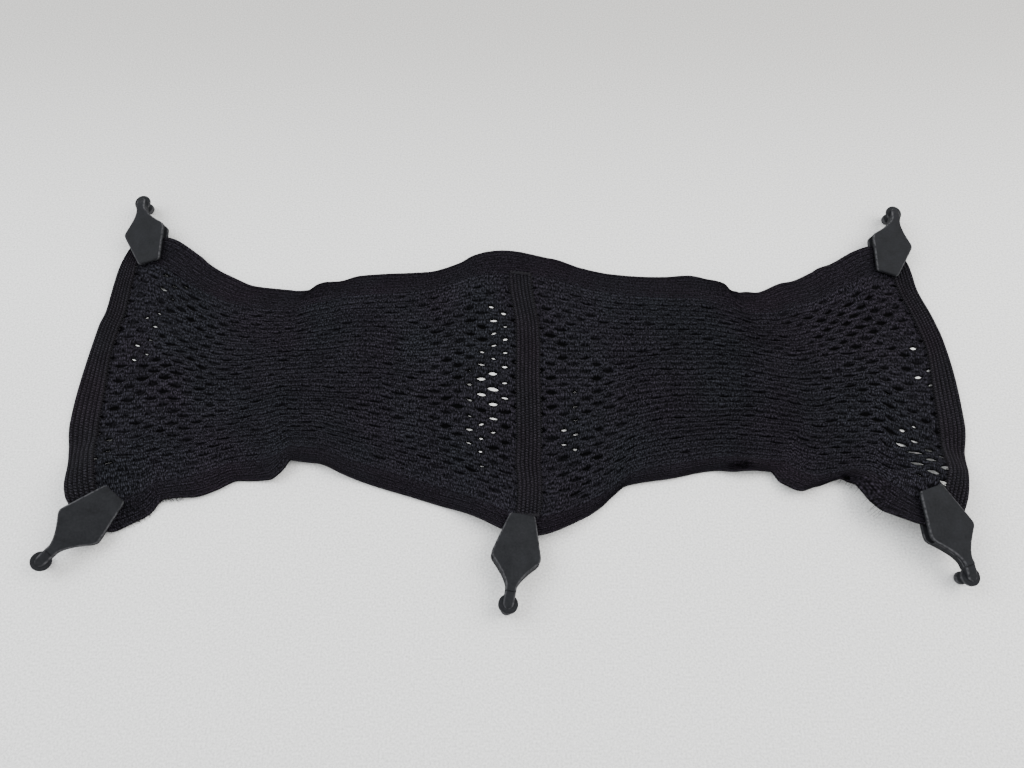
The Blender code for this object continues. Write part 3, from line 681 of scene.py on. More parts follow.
@dataclass(frozen=True)
class KnitFinish:
    """A knitted finish: its yarn's colours, its loops' size and how matt it is."""

    name: str
    slot: Slot
    # deep is the yarn's colour painted in shade, and lit is its colour painted in light
    deep: tuple[float, float, float]
    lit: tuple[float, float, float]
    along: float
    across: float
    uneven: float
    fleck: float
    bump: float
    roughness: float
    specular: float
    lint: float

    def build(self, groups: Groups) -> bpy.types.Material:
        """The material: loops from the piece's UV map, lint over the yarn's colour."""
        material, nodes, shader = new_material(self.name, self.roughness, self.specular)
        place = nodes.add("ShaderNodeUVMap", uv_map="weave").outputs[0]
        loops = nodes.use(
            groups.knit, Place=place, Along=self.along * MM, Across=self.across * MM,
            Uneven=self.uneven, Fleck=self.fleck,
        )  # fmt: skip
        lint = nodes.use(groups.lint, Place=place, Amount=self.lint)["Mask"]
        lit = nodes.mix(loops["Cast"], self.lit, shaded(self.lit, *WARM_CAST))
        # painted shade and light: the yarn is painted deep between the loops and lit on their
        # tops
        yarn = nodes.mix(loops["Shade"], self.deep, lit)
        hollow = nodes.add("ShaderNodeAttribute", attribute_name="relief").outputs["Fac"]
        # painted shade in the hollows that the piece's relief mask marks
        yarn = nodes.mix(hollow, yarn, shaded(self.deep, GAP_SHADE))
        nodes.put(nodes.mix(lint, yarn, LINT_COLOUR), shader["Base Color"])
        raise_surface(nodes, loops["Height"], 1.0, self.bump, shader)
        return material


@dataclass(frozen=True)
class MouldedFinish:
    """Matt moulded plastic with a fine grain and a painted highlight along its edges."""

    name: str
    slot: Slot
    colour: tuple[float, float, float]
    # colour of the painted highlight along the edges
    painted_edge_highlight: tuple[float, float, float]
    roughness: float
    specular: float

    def build(self, groups: Groups) -> bpy.types.Material:
        """The material, from Object coordinates and the piece's edge attribute, which places the
        painted highlight.
        """
        material, nodes, shader = new_material(self.name, self.roughness, self.specular)
        place = nodes.add("ShaderNodeTexCoord").outputs["Object"]
        edge = nodes.add("ShaderNodeAttribute", attribute_name="relief").outputs["Fac"]
        surface = nodes.use(groups.moulded, Place=place, Edge=edge)
        darker, lighter = (shaded(self.colour, share) for share in CLOUD_SHADES)
        cloudy = nodes.mix(surface["Cloud"], darker, lighter)
        # painted highlight: the edges are mixed towards a lighter colour in patches
        nodes.put(nodes.mix(surface["Scuff"], cloudy, self.painted_edge_highlight), shader["Base Color"])
        rough = nodes.times(surface["Cloud"], CLOUD_ROUGHNESS)
        rough = nodes.plus(rough, self.roughness - 0.5 * CLOUD_ROUGHNESS)
        nodes.put(rough, shader["Roughness"])
        raise_surface(nodes, surface["Grain"], GRAIN_STRENGTH, MOULD_GRAIN, shader)
        return material


MESH_YARN = KnitFinish(
    "knitted mesh yarn", Slot.KNIT, (0.0018, 0.0018, 0.0024), (0.0335, 0.035, 0.0445),
    0.85, 1.3, 0.8, 4.2, 0.34, 0.9, 0.05, 0.45,
)  # fmt: skip
HEM_YARN = KnitFinish(
    "knitted hem yarn", Slot.KNIT, (0.0018, 0.0016, 0.0022), (0.0265, 0.025, 0.033),
    0.85, 1.2, 0.6, 3.6, 0.26, 0.9, 0.05, 0.4,
)  # fmt: skip
BAND_YARN = KnitFinish(
    "ribbed elastic yarn", Slot.ELASTIC, (0.0018, 0.0017, 0.0022), (0.062, 0.0605, 0.0745),
    0.95, 0.6, 0.3, 1.6, 0.14, 0.88, 0.06, 0.5,
)  # fmt: skip
THREAD = KnitFinish(
    "sewing thread", Slot.ELASTIC, (0.006, 0.006, 0.007), (0.03, 0.03, 0.035),
    0.5, 0.25, 0.2, 1.0, 0.05, 0.7, 0.1, 0.2,
)  # fmt: skip
# the second colour is the painted highlight along the clip's edges
CLIP_PLASTIC = MouldedFinish(
    "moulded clip plastic", Slot.MOULDED, (0.0138, 0.0144, 0.0162), (0.06, 0.06, 0.064), 0.7, 0.06
)


# ---------------------------------------------------------------- from arrays to pieces


def strip_faces(rows: int, columns: int, closed: bool) -> Array:
    """Quads between the points of a grid that is stored row by row.

    Args:
        rows: number of rows of points.
        columns: number of points in a row.
        closed: whether each row runs round, back to its first point.

    Returns:
        The quads' point numbers, one quad to a row.
    """
    grid = np.arange(rows * columns).reshape(rows, columns)
    if closed:
        grid = np.concatenate([grid, grid[:, :1]], axis=1)
    corners = (grid[:-1, :-1], grid[:-1, 1:], grid[1:, 1:], grid[1:, :-1])
    return np.stack([corner.ravel() for corner in corners], axis=1)


@dataclass
class Shape:
    """Points in millimetres of the layout, faces between them, and what the finish reads.

    Relief is 1 where a highlight is painted on an edge of plastic or shade is painted deep
    between yarns, and 0 on what is open.
    """

    points: Array
    faces: list
    weave: Array | None = None
    relief: Array | None = None

    def joined(self, other: "Shape") -> "Shape":
        """This shape and another as one."""
        shift = len(self.points)
        faces = self.faces + [[i + shift for i in face] for face in other.faces]
        pairs = ((self.weave, other.weave), (self.relief, other.relief))
        weave, relief = (None if a is None else np.concatenate([a, b]) for a, b in pairs)
        return Shape(np.concatenate([self.points, other.points]), faces, weave, relief)


def join(shapes: list[Shape]) -> Shape:
    """Several shapes as one."""
    return reduce(Shape.joined, shapes)


def tube_shape(points: Array, weave: Array | None = None, relief: Array | None = None) -> Shape:
    """A closed body from sections of equal point count, capped with a fan at both ends.

    Args:
        points: sections × points round × 3, counted so that faces look outwards.
        weave: places on the cloth for each point, in metres.
        relief: the finish's mask at each point, from 0 to 1.

    Returns:
        The shape.
    """
    rows, columns = points.shape[:2]
    faces = strip_faces(rows, columns, True).tolist()
    middle = points[[0, -1]].mean(axis=1)
    first, last = rows * columns, rows * columns + 1
    start = np.arange(columns)
    end = start + (rows - 1) * columns
    turned = np.roll(start, -1)
    faces += np.stack([np.full(columns, first), turned, start], 1).tolist()
    faces += np.stack([np.full(columns, last), end, np.roll(end, -1)], 1).tolist()
    flat = points.reshape(-1, 3)
    extra = None
    if weave is not None:
        extra = np.concatenate([weave.reshape(-1, 2), weave[[0, -1]].mean(axis=1)])
    mask = None if relief is None else np.concatenate([relief.ravel(), relief[[0, -1], 0]])
    return Shape(np.concatenate([flat, middle]), faces, extra, mask)


def placed(name: str, data: bpy.types.ID) -> bpy.types.Object:
    """A new object in the scene, at the origin."""
    made = bpy.data.objects.new(name, data)
    bpy.context.scene.collection.objects.link(made)
    return made


class Workshop:
    """Turns shapes into finished pieces that ride on the frame."""

    def __init__(self) -> None:
        """Builds the finishes."""
        groups = Groups()
        finishes = (MESH_YARN, HEM_YARN, BAND_YARN, THREAD, CLIP_PLASTIC)
        self.materials = {finish.name: finish.build(groups) for finish in finishes}

    def piece(self, name: str, shape: Shape, finish: object, *nodes: str) -> bpy.types.Object:
        """Makes the object, shaded smooth, and reports it.

        Args:
            name: the piece's name.
            shape: its points, in millimetres of the layout.
            finish: its KnitFinish or MouldedFinish.
            nodes: the CAD nodes that it stands for.

        Returns:
            The new object.
        """
        moved = (shape.points + np.array((*LAYOUT_SHIFT, 0))) * MM
        mesh = bpy.data.meshes.new(name)
        mesh.from_pydata(moved.tolist(), [], shape.faces)
        mesh.shade_smooth()
        if shape.weave is not None:
            corners = np.empty(len(mesh.loops), np.int64)
            mesh.loops.foreach_get("vertex_index", corners)
            weave = mesh.uv_layers.new(name="weave")
            weave.data.foreach_set("uv", shape.weave[corners].astype(np.float32).ravel())
        if shape.relief is not None:
            mask = mesh.attributes.new("relief", "FLOAT", "POINT")
            mask.data.foreach_set("value", shape.relief.astype(np.float32))
        mesh.materials.append(self.materials[finish.name])
        piece = placed(name, mesh)
        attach(piece, "root")
        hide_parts(*nodes)
        mesh.calc_loop_triangles()
        LOG.info("%s: %d triangles", name, len(mesh.loop_triangles))
        return piece


# ---------------------------------------------------------------- the knitted mesh


# Where the meshes stand loose, so that each shows as a dimple and not as a slit
LOOSE_PATCHES = spots(
    (-16, 0, 34, 62, 0, 1.0), (32, -8, 26, 56, 8, 0.9), (-176, 12, 36, 62, 4, 0.9),
    (188, -8, 30, 66, 6, 0.8), (170, 45, 30, 25, 20, 1.0), (108, 8, 40, 40, 0, 0.3),
)  # fmt: skip
# Where they stand open down to what the net lies on
OPEN_PATCHES = spots(
    (-8, 20, 8, 38, 0, 1.0), (-15, -16, 12, 32, 0, 1.0), (30, -24, 8, 22, -8, 0.85),
    (-180, 61, 10, 12, 35, 1.1), (-189, 30, 7, 26, -12, 0.7), (-192, -40, 7, 18, 25, 0.9),
    (206, 9, 6, 16, 8, 1.0), (195, -43, 10, 20, 15, 1.9), (191, -50, 8, 9, 15, 1.0),
    (186, -6, 6, 7, 0, 0.8),
)  # fmt: skip
# Where rows of straight ribs show between the meshes
RIBBED_PATCHES = spots((105, 5, 58, 52, 0, 1.0), (-95, 10, 45, 50, 0, 0.5))
SPOT_REACH = 1.4  # a patch fades from its full strength at 0.4 of its reach to none here


def patch_strength(patches: tuple[Spot, ...], x: Array, y: Array) -> Array:
    """How strongly some patches act at (x, y): soft ellipses, added up."""
    total = np.zeros_like(x)
    for patch in patches:
        far = np.hypot(*patch.shares(x, y))
        total = total + patch.strength * smooth_step(SPOT_REACH - far)
    return total


@dataclass(frozen=True)
class MeshState:
    """How the meshes of one half stand, one value to a mesh."""

    through: Array  # whether it is cut through
    loose: Array  # how loosely it stands, from 0 to 1
    # shown also sets how dark a closed pit's painted shade is
    shown: Array  # how deep and dark it shows, from 0 to 1
    shut: Array  # how far the yarns by a hem shut it, from 0 to 1
    ribbed: Array  # how strongly straight ribs show beside it
    long: Array  # half its lens's length, in steps of the lattice
    wide: Array  # half its lens's width
    lean: Array  # how far its two ends are skewed
    shift: Array  # how far it lies off its place


@dataclass
class KnittedMesh:
    """The staggered lens-shaped meshes of one half of the net, as one closed sheet."""

    name: str
    start: float
    end: float
    columns: int
    rows: int = 33
    around: int = 18
    rings: tuple[float, ...] = (0.0, 0.08, 0.18, 0.34, 0.6, 1.0)
    steep: float = 6.0
    steep_through: float = 2.3
    pit: float = 0.3
    pit_range: float = 0.65
    rim_thick: float = 0.5
    strand_thick: float = 1.45
    under_sewn: float = 1.3
    rib_depth: float = 0.3
    slit_long: float = 0.5
    slit_wide: float = 0.07
    loose_long: float = 0.42
    loose_wide: float = 0.2
    open_long: float = 0.31
    open_wide: float = 0.165
    pointed: float = 1.8
    lean: float = 0.06
    shift: float = 0.05
    vary_state: float = 0.35
    vary_size: float = 0.15
    loose_steep: float = 2.8
    shut_reach: float = 2.2
    shut_thick: float = 1.2
    row_weave: float = 2.3
    wander: float = 0.35
    seed: int = 7

    def cells(self) -> Array:
        """Column and row of each mesh's middle: every other place of the lattice."""
        column, row = np.meshgrid(np.arange(self.columns + 1), np.arange(self.rows + 1))
        chosen = (column + row) % 2 == 1
        return np.stack([column[chosen], row[chosen]], axis=1).astype(float)

    def place(self, column: Array, row: Array) -> tuple:
        """The net's s and t at a place of the lattice, which may lie just past its ends."""
        s = self.start + (self.end - self.start) * column / self.columns
        tall = NET.tall(s)
        open_net = 1 - (NET.hem_front + NET.hem_rear) / tall
        inside = np.sin(math.pi * np.clip(row / self.rows, 0, 1))
        row = row + self.wander * inside * ripple(column, row, 9.0, self.seed)
        return s, NET.hem_front / tall + open_net * row / self.rows

    def state(self, cells: Array) -> MeshState:
        """Draws how each mesh stands: what the patches say there, with some spread."""
        random = np.random.default_rng(self.seed)
        x, y = NET.plan(*self.place(*cells.T)).T
        spread = np.clip(random.normal(0, 1, (6, len(cells))), -2, 2)
        shown = random.uniform(0, 1, len(cells))
        patches = (OPEN_PATCHES, LOOSE_PATCHES, RIBBED_PATCHES)
        clear, loose, ribbed = (patch_strength(group, x, y) for group in patches)
        through = clear * (1 + self.vary_state * spread[0]) > 0.5
        loose = np.clip(loose * (0.75 + self.vary_state * spread[1]), 0, 1)
        size = (0.35 + 0.65 * np.minimum(clear, 2.2)) * (0.75 + 0.4 * shown)
        from_hem = np.minimum(cells[:, 1], self.rows - cells[:, 1])
        shut = 1 - smooth_step((from_hem + 0.6 * spread[0]) / self.shut_reach)

        def half_size(slit: float, slack: float, wide_open: float, vary: Array) -> Array:
            """Half a lens's length or width, from those of a slit, a loose and an open one."""
            closed = slit + (slack - slit) * loose
            return np.where(through, wide_open * size, closed) * (1 + self.vary_size * vary)

        long = half_size(self.slit_long, self.loose_long, self.open_long, spread[2])
        wide = half_size(self.slit_wide, self.loose_wide, self.open_wide, spread[3])
        lean, shift = self.lean * spread[4], self.shift * spread[5]
        return MeshState(through, loose, shown, shut, ribbed, long, wide, lean, shift)

    def relief(self, state: MeshState, ring: Array, column: Array, row: Array) -> tuple:
        """The upper face's heights over the underside, and its mask of painted shade.

        The thickness rises from the lens's rim as 1 − (1 − ring)^steep. A mesh whose yarns
        close it is a pit with a floor.

        Args:
            state: how the meshes stand.
            ring: how far out each ring of points is, from 0 to 1.
            column: the points' columns, meshes × rings × points round.
            row: their rows.

        Returns:
            The heights in millimetres, and the finish's mask of painted shade in the pits and
            between the ribs.
        """
        through, loose, shown, shut, ribbed = (
            values[:, None, None]
            for values in (state.through, state.loose, state.shown, state.shut, state.ribbed)
        )
        steep = np.where(through, self.steep_through, self.steep - self.loose_steep * loose)
        rise = 1 - (1 - ring) ** steep
        floor = self.pit + self.pit_range * (1 - shown) * (1 - loose)
        floor = floor + (self.shut_thick - floor) * shut
        foot = np.where(through, self.rim_thick, floor)
        rib = 0.5 - 0.5 * np.cos(2 * math.pi * row)
        depth = self.rib_depth * (0.6 + 1.2 * ribbed) * (1 - 0.6 * loose)
        crest = self.strand_thick + depth * (rib - 0.6)
        sewn = smooth_step(1.5 * np.minimum(column, self.columns - column))
        crest = self.under_sewn + (crest - self.under_sewn) * sewn
        # painted shade: how dark a closed pit is painted
        dark = (0.35 + 0.65 * np.maximum(shown, loose)) * (1 - 0.8 * shut)
        hollow = (1 - rise) * np.where(through, 1.0, dark)
        # painted shade in the grooves between the ribs
        between = (0.15 + 0.4 * ribbed) * (1 - rib) * (1 - loose)
        return foot + (crest - foot) * rise, np.maximum(hollow, np.clip(between, 0, 1))

    def shape(self) -> Shape:
        """The sheet: rings of points from each mesh's rim out to its diamond.

        The rim is a lens, |sin| raised to a power above one so that its ends are pointed. The
        diamond has cos² along and sin² across, so that neighbours share its points. Between
        them the rings run in a straight line. Under them lie two more, for the lower face.
        """
        cells = self.cells()
        state = self.state(cells)
        angle = np.arange(self.around) * 2 * math.pi / self.around
        cos, sin = np.cos(angle), np.sin(angle)
        lens_a = state.long[:, None] * cos
        lens_b = state.wide[:, None] * np.sign(sin) * np.abs(sin) ** self.pointed
        lens_b = lens_b + state.lean[:, None] * cos + state.shift[:, None]
        ring = np.array(self.rings)[None, :, None]
        a = lens_a[:, None] * (1 - ring) + np.sign(cos) * cos**2 * ring
        b = lens_b[:, None] * (1 - ring) + np.sign(sin) * sin**2 * ring
        column, row = cells[:, 0, None, None] + a, cells[:, 1, None, None] + b
        thick, hollow = self.relief(state, ring, column, row)
        ends = [0, len(self.rings) - 1]
        column, row = (np.concatenate([part, part[:, ends]], axis=1) for part in (column, row))
        low = np.zeros((len(cells), 2, self.around))
        thick = np.concatenate([thick, low], axis=1)
        hollow = np.concatenate([hollow, low + 1], axis=1)
        layer = np.concatenate([np.zeros_like(a), low + 1], axis=1)
        return self.welded(np.stack([column, row, layer, thick, hollow]), state.through)

    def welded(self, values: Array, through: Array) -> Shape:
        """Joins the cells' shared points, closes the pits, and closes the sheet all round.

        Args:
            values: column, row, layer (0 for the upper face and 1 for the lower one), height
                over the underside and hollow, each cells × rings × points round.
            through: which cells are cut through.

        Returns:
            The closed sheet.
        """
        flat = values.reshape(5, -1)
        keys = np.round(flat[:3].T * 20000).astype(np.int64)
        _, first, number = np.unique(keys, axis=0, return_index=True, return_inverse=True)
        number = number.reshape(values.shape[1:])
        column, row, layer, thick, hollow = flat[:, first]
        s, t = self.place(column, row)
        points = NET.points(s, t, thick)
        points[:, 2] += 0.1 * ripple(points[:, 0], points[:, 1], 6.0, 1.3) * (1 - layer)
        weave = np.stack([s * 2 * NET.half_length, row * self.row_weave], axis=1) * MM
        top = number[:, : len(self.rings)]
        rim_low, edge_low = number[:, -2], number[:, -1]
        faces = []
        pairs = [(top[:, i], top[:, i + 1]) for i in range(len(self.rings) - 1)]
        pairs += [(edge_low, rim_low), (rim_low[through], top[through, 0])]
        for inner, outer in pairs:
            a, b = np.roll(inner, -1, axis=1), np.roll(outer, -1, axis=1)
            faces.append(np.stack([inner, outer, b, a], axis=-1).reshape(-1, 4))
        half = self.around // 2
        near, far = np.arange(half), -np.arange(half) % self.around
        for rim, turned in ((top[~through, 0], False), (rim_low[~through], True)):
            floor = np.stack([rim[:, near], rim[:, near + 1], rim[:, far - 1], rim[:, far]], -1)
            faces.append(floor.reshape(-1, 4)[:, ::-1] if turned else floor.reshape(-1, 4))
        edge = top[:, -1]
        ends = np.stack([edge, np.roll(edge, -1, axis=1)], axis=-1).reshape(-1, 2)
        under = np.stack([edge_low, np.roll(edge_low, -1, axis=1)], axis=-1).reshape(-1, 2)
        _, back, uses = np.unique(
            np.sort(ends, axis=1), axis=0, return_index=True, return_counts=True
        )
        free = back[uses == 1]
        wall = np.concatenate([ends[free][:, ::-1], under[free]], axis=1)
        quads = np.concatenate([*faces, wall]).tolist()
        return Shape(points, [list(dict.fromkeys(quad)) for quad in quads], weave, hollow)


# ---------------------------------------------------------------- hems, bands and tape


@dataclass
class Hem:
    """A dense knitted hem along the front or the rear edge, ribbed along its length."""

    name: str
    at_rear: bool
    ribs: float = 6.5
    per_rib: int = 8
    step: float = 0.32
    thick: float = 1.75
    groove: float = 0.38
    under_band: float = 1.2
    overlap: float = 0.3
    tooth: float = 0.95
    tooth_deep: float = 0.18
    rolled: float = 0.09
    band_fade: float = 0.01
    curl: float = 1.5

    def shape(self) -> Shape:
        """The hem: ribs of |sin| across it, rolled down at its outer edge.

        Under the side bands its thickness falls to the net's own. Its outer edge is finely
        toothed with |sin| along it, and curls up off the surface as a square of the distance.
        """
        along = round(2 * NET.half_length / self.step)
        s = np.linspace(0, 1, along + 1)[:, None]
        across = round(self.ribs * self.per_rib)
        q = np.linspace(0, 1, across + 1)
        ribs = np.abs(np.sin(q * self.ribs * math.pi)) ** 0.8
        roll = np.sqrt(np.clip(1 - (1 - np.clip(q / self.rolled, 0, 1)) ** 2, 0, 1))
        high = (self.thick - self.groove * (1 - ribs)) * (0.3 + 0.7 * roll)
        high = high - 0.25 * smooth_step((q - 0.85) / 0.15)
        band = np.maximum(
            smooth_step((NET.side_left - s) / self.band_fade),
            smooth_step((s - NET.side_right) / self.band_fade),
        )
        high = high * (1 - band) + np.minimum(high, self.under_band) * band
        low = np.zeros_like(high[:, :3])
        share = np.concatenate([q[::-1], (0.02, 0.5, 1.0)])
        lift = np.concatenate([high[:, ::-1], low], axis=1)
        wide = (NET.hem_rear if self.at_rear else NET.hem_front) + self.overlap
        teeth = np.abs(np.sin(math.pi * s * 2 * NET.half_length / self.tooth))
        teeth = self.tooth_deep * teeth
        t = (wide * share + teeth * np.clip(1 - share / 0.06, 0, 1)) / NET.tall(s)
        t = 1 - t if self.at_rear else t
        s_all = np.broadcast_to(s, t.shape)
        points = NET.points(s_all, t, lift)
        stretch = 0.07 * ripple(points[..., 0], points[..., 1], 5.0, 2.2)
        points[..., 2] += stretch * (lift > 0.5)
        loose = 0.6 + 0.4 * ripple(points[..., 0], points[..., 1], 70.0, 4.0)
        points[..., 2] += self.curl * loose * np.clip(1 - share / 0.8, 0, 1) ** 2 * (1 - band)
        line = wide * share + np.zeros_like(t)
        weave = np.stack([s_all * 2 * NET.half_length, line], axis=-1) * MM
        # painted shade in the grooves between the ribs, and full painted shade on the underside
        hollow = np.concatenate([0.5 * (1 - ribs[::-1]), np.ones(3)]) + np.zeros_like(t)
        if self.at_rear:
            points, weave, hollow = points[:, ::-1], weave[:, ::-1], hollow[:, ::-1]
        return tube_shape(points, weave, hollow)


class Side(Enum):
    """Which strip of the net a sewn band lies on."""

    LEFT = "left"
    RIGHT = "right"
    MIDDLE = "middle"


@dataclass
class RibbedBand:
    """A woven elastic band sewn over the net, with stitched ribs along it."""

    name: str
    side: Side
    ribs: int
    lift: float = 1.5
    groove_thick: float = 0.35
    rib_thick: float = 1.25
    stitch: float = 1.3
    per_stitch: int = 4
    per_rib: int = 8

    def strip(self) -> tuple:
        """Its two edges as s, and how far in from the net's front and rear edge it ends."""
        if self.side is Side.LEFT:
            return 0.0, NET.side_left, (0.0, 0.0)
        if self.side is Side.RIGHT:
            return NET.side_right, 1.0, (0.0, 0.0)
        inset = (NET.hem_front - 1.0, NET.hem_rear - 1.0)
        return 0.5 - NET.tape_half, 0.5 + NET.tape_half, inset

    def shape(self) -> Shape:
        """The band: |sin| ribs across, each scalloped along by its stitches.

        Neighbouring ribs' stitches are set off by half a stitch. The thickness is that of the
        groove plus the rib's height times the stitch's arch.
        """
        first, last, inset = self.strip()
        middle = 0.5 * (first + last)
        tall = NET.tall_at(middle)
        stitches = round((tall - sum(inset)) / self.stitch)
        along = stitches * self.per_stitch
        t = np.linspace(inset[0] / tall, 1 - inset[1] / tall, along + 1)[:, None]
        across = self.ribs * self.per_rib
        q = np.linspace(0, 1, across + 1)
        rib = np.minimum((q * self.ribs).astype(int), self.ribs - 1)
        phase = np.arange(along + 1)[:, None] / self.per_stitch + 0.5 * (rib % 2)
        arch = 0.25 + 0.75 * np.abs(np.sin(math.pi * phase)) ** 0.8
        round_rib = np.abs(np.sin(q * self.ribs * math.pi))
        high = self.groove_thick + (self.rib_thick - self.groove_thick) * round_rib * arch
        share = np.concatenate([q[::-1], (0.0, 0.5, 1.0)])
        lift = np.concatenate([high[:, ::-1], np.zeros((along + 1, 3))], axis=1) + self.lift
        s = first + (last - first) * share + np.zeros_like(t)
        # painted shade in the grooves between the ribs and between the stitches
        open_yarn = (round_rib * (1.6 * arch - 0.6))[:, ::-1]
        hollow = np.concatenate([1 - open_yarn, np.ones((along + 1, 3))], axis=1)
        points = NET.points(s, t + np.zeros_like(s), lift)
        weave = np.stack([t * tall + np.zeros_like(s), s * 2 * NET.half_length], axis=-1) * MM
        return tube_shape(points[:, ::-1], weave[:, ::-1], 0.85 * hollow[:, ::-1])


# ---------------------------------------------------------------- sewing thread and loose fibres


def thread_shape(path: Array, radius: float, around: int = 6) -> Shape:
    """A round thread: a ring of points, square to the path, at each of the path's points."""
    ahead = np.gradient(path, axis=0)
    ahead /= np.linalg.norm(ahead, axis=1, keepdims=True)
    aside = np.cross(ahead, (0.0, 0.0, 1.0))
    aside /= np.linalg.norm(aside, axis=1, keepdims=True)
    over = np.cross(aside, ahead)
    angle = np.arange(around)[None, :, None] * 2 * math.pi / around
    points = np.cos(angle) * aside[:, None] - np.sin(angle) * over[:, None]
    weave = np.stack(np.broadcast_arrays(lengths(path)[:, None], radius * angle[..., 0]), -1)
    relief = np.zeros((len(path), around))
    return tube_shape(path[:, None] + radius * points, weave * MM, relief)


@dataclass
class ZigzagSeams:
    """The zigzag that holds the tape and the bands to the net, and the tape's bar tacks."""

    pitch: float = 1.9
    reach: float = 0.75
    radius: float = 0.17
    per_zag: int = 10
    low: float = 1.55
    climb: float = 0.95
    tack_pitch: float = 0.7
    tack_reach: float = 0.9
    tack_inset: float = 0.6
    tack_high: float = 2.75

    def swings(self, length: float, pitch: float) -> Array:
        """A zigzag's sine angle at each of its points, over that length."""
        zags = round(length / pitch)
        return np.linspace(0, zags * 2 * math.pi, zags * self.per_zag + 1)

    def seam(self, line: float, onto: int, tall: float, inset: tuple) -> Shape:
        """A zigzag along t: a sine to either side of the line, high on the band's side.

        Args:
            line: the band's edge, as s.
            onto: 1 where the band lies at larger s, and −1 where it lies at smaller.
            tall: the band's length.
            inset: how far in from the net's front and rear edge it ends.

        Returns:
            The thread.
        """
        swing = np.sin(self.swings(tall - sum(inset), self.pitch))
        s = line + onto * self.reach * swing / (2 * NET.half_length)
        t = np.linspace(inset[0] / tall, 1 - inset[1] / tall, len(swing))
        lift = self.low + self.climb * smooth_step(0.5 + 0.9 * swing)
        return thread_shape(NET.points(s, t, lift), self.radius)

    def tack(self, at: float, tall: float) -> Shape:
        """A close zigzag across the tape's end, at that distance from the net's front edge."""
        turn = self.swings(NET.tape - 1.0, self.tack_pitch)
        across = np.linspace(0.5 - NET.tape, NET.tape - 0.5, len(turn)) / 2
        t = (at + self.tack_reach * np.sin(turn)) / tall
        s = 0.5 + across / (2 * NET.half_length)
        lift = self.tack_high + 0.1 * np.cos(2 * turn)
        return thread_shape(NET.points(s, t, lift), self.radius)

    def make(self, workshop: Workshop) -> bpy.types.Object:
        """Makes all the seams as one piece."""
        tape = (NET.hem_front, NET.hem_rear)
        lines = (
            (0.5 - NET.tape_half, 1, tape),
            (0.5 + NET.tape_half, -1, tape),
            (NET.side_left, -1, (1.0, 1.0)),
            (NET.side_right, 1, (1.0, 1.0)),
        )
        threads = [self.seam(line, onto, NET.tall_at(line), inset) for line, onto, inset in lines]
        tall = NET.tall_at(0.5)
        for at in (tape[0] + self.tack_inset, tall - tape[1] - self.tack_inset):
            threads.append(self.tack(at, tall))
        return workshop.piece("zigzag_seams", join(threads), THREAD, "centre_tape")


@dataclass(frozen=True)
class Fray:
    """A stretch of the front hem's edge where loose fibres stand out of the knit."""

    first: float
    last: float
    fibres: int
    longest: float
    seed: int


FRAYS = (Fray(0.045, 0.105, 70, 2.4, 3), Fray(0.895, 0.93, 16, 1.3, 5))


@dataclass
class LooseFibres:
    """Fine fibres along the front hem's edge by the corner clips."""

    radius: float = 0.055
    steps: int = 7

    def make(self, workshop: Workshop) -> bpy.types.Object:
        """Makes the fibres: each an arc that leaves the edge and bends, as one piece."""
        fibres = []
        for fray in FRAYS:
            random = np.random.default_rng(fray.seed)
            s = random.uniform(fray.first, fray.last, fray.fibres)
            length = fray.longest * random.uniform(0.3, 1, fray.fibres) ** 1.5
            heading = random.normal(-math.pi / 2, 0.7, fray.fibres)
            bend = random.normal(0, 1.3, fray.fibres)
            high = random.uniform(0.25, 1.3, fray.fibres)
            start = NET.points(s, np.full_like(s, 0.004), high)
            u = np.linspace(0, 1, self.steps)[None]
            way = heading[:, None] + bend[:, None] * u
            hop = length[:, None] / (self.steps - 1)
            x = start[:, :1] + np.cumsum(np.cos(way) * hop, axis=1) - np.cos(way[:, :1]) * hop
            y = start[:, 1:2] + np.cumsum(np.sin(way) * hop, axis=1) - np.sin(way[:, :1]) * hop
            z = np.maximum(start[:, 2:] * (1 - 0.8 * u**2), self.radius)
            paths = np.stack([x, y, z], axis=-1)
            fibres += [thread_shape(path, self.radius, 4) for path in paths]
        return workshop.piece("loose_fibres", join(fibres), THREAD, "net_panel")


# ---------------------------------------------------------------- moulded clips


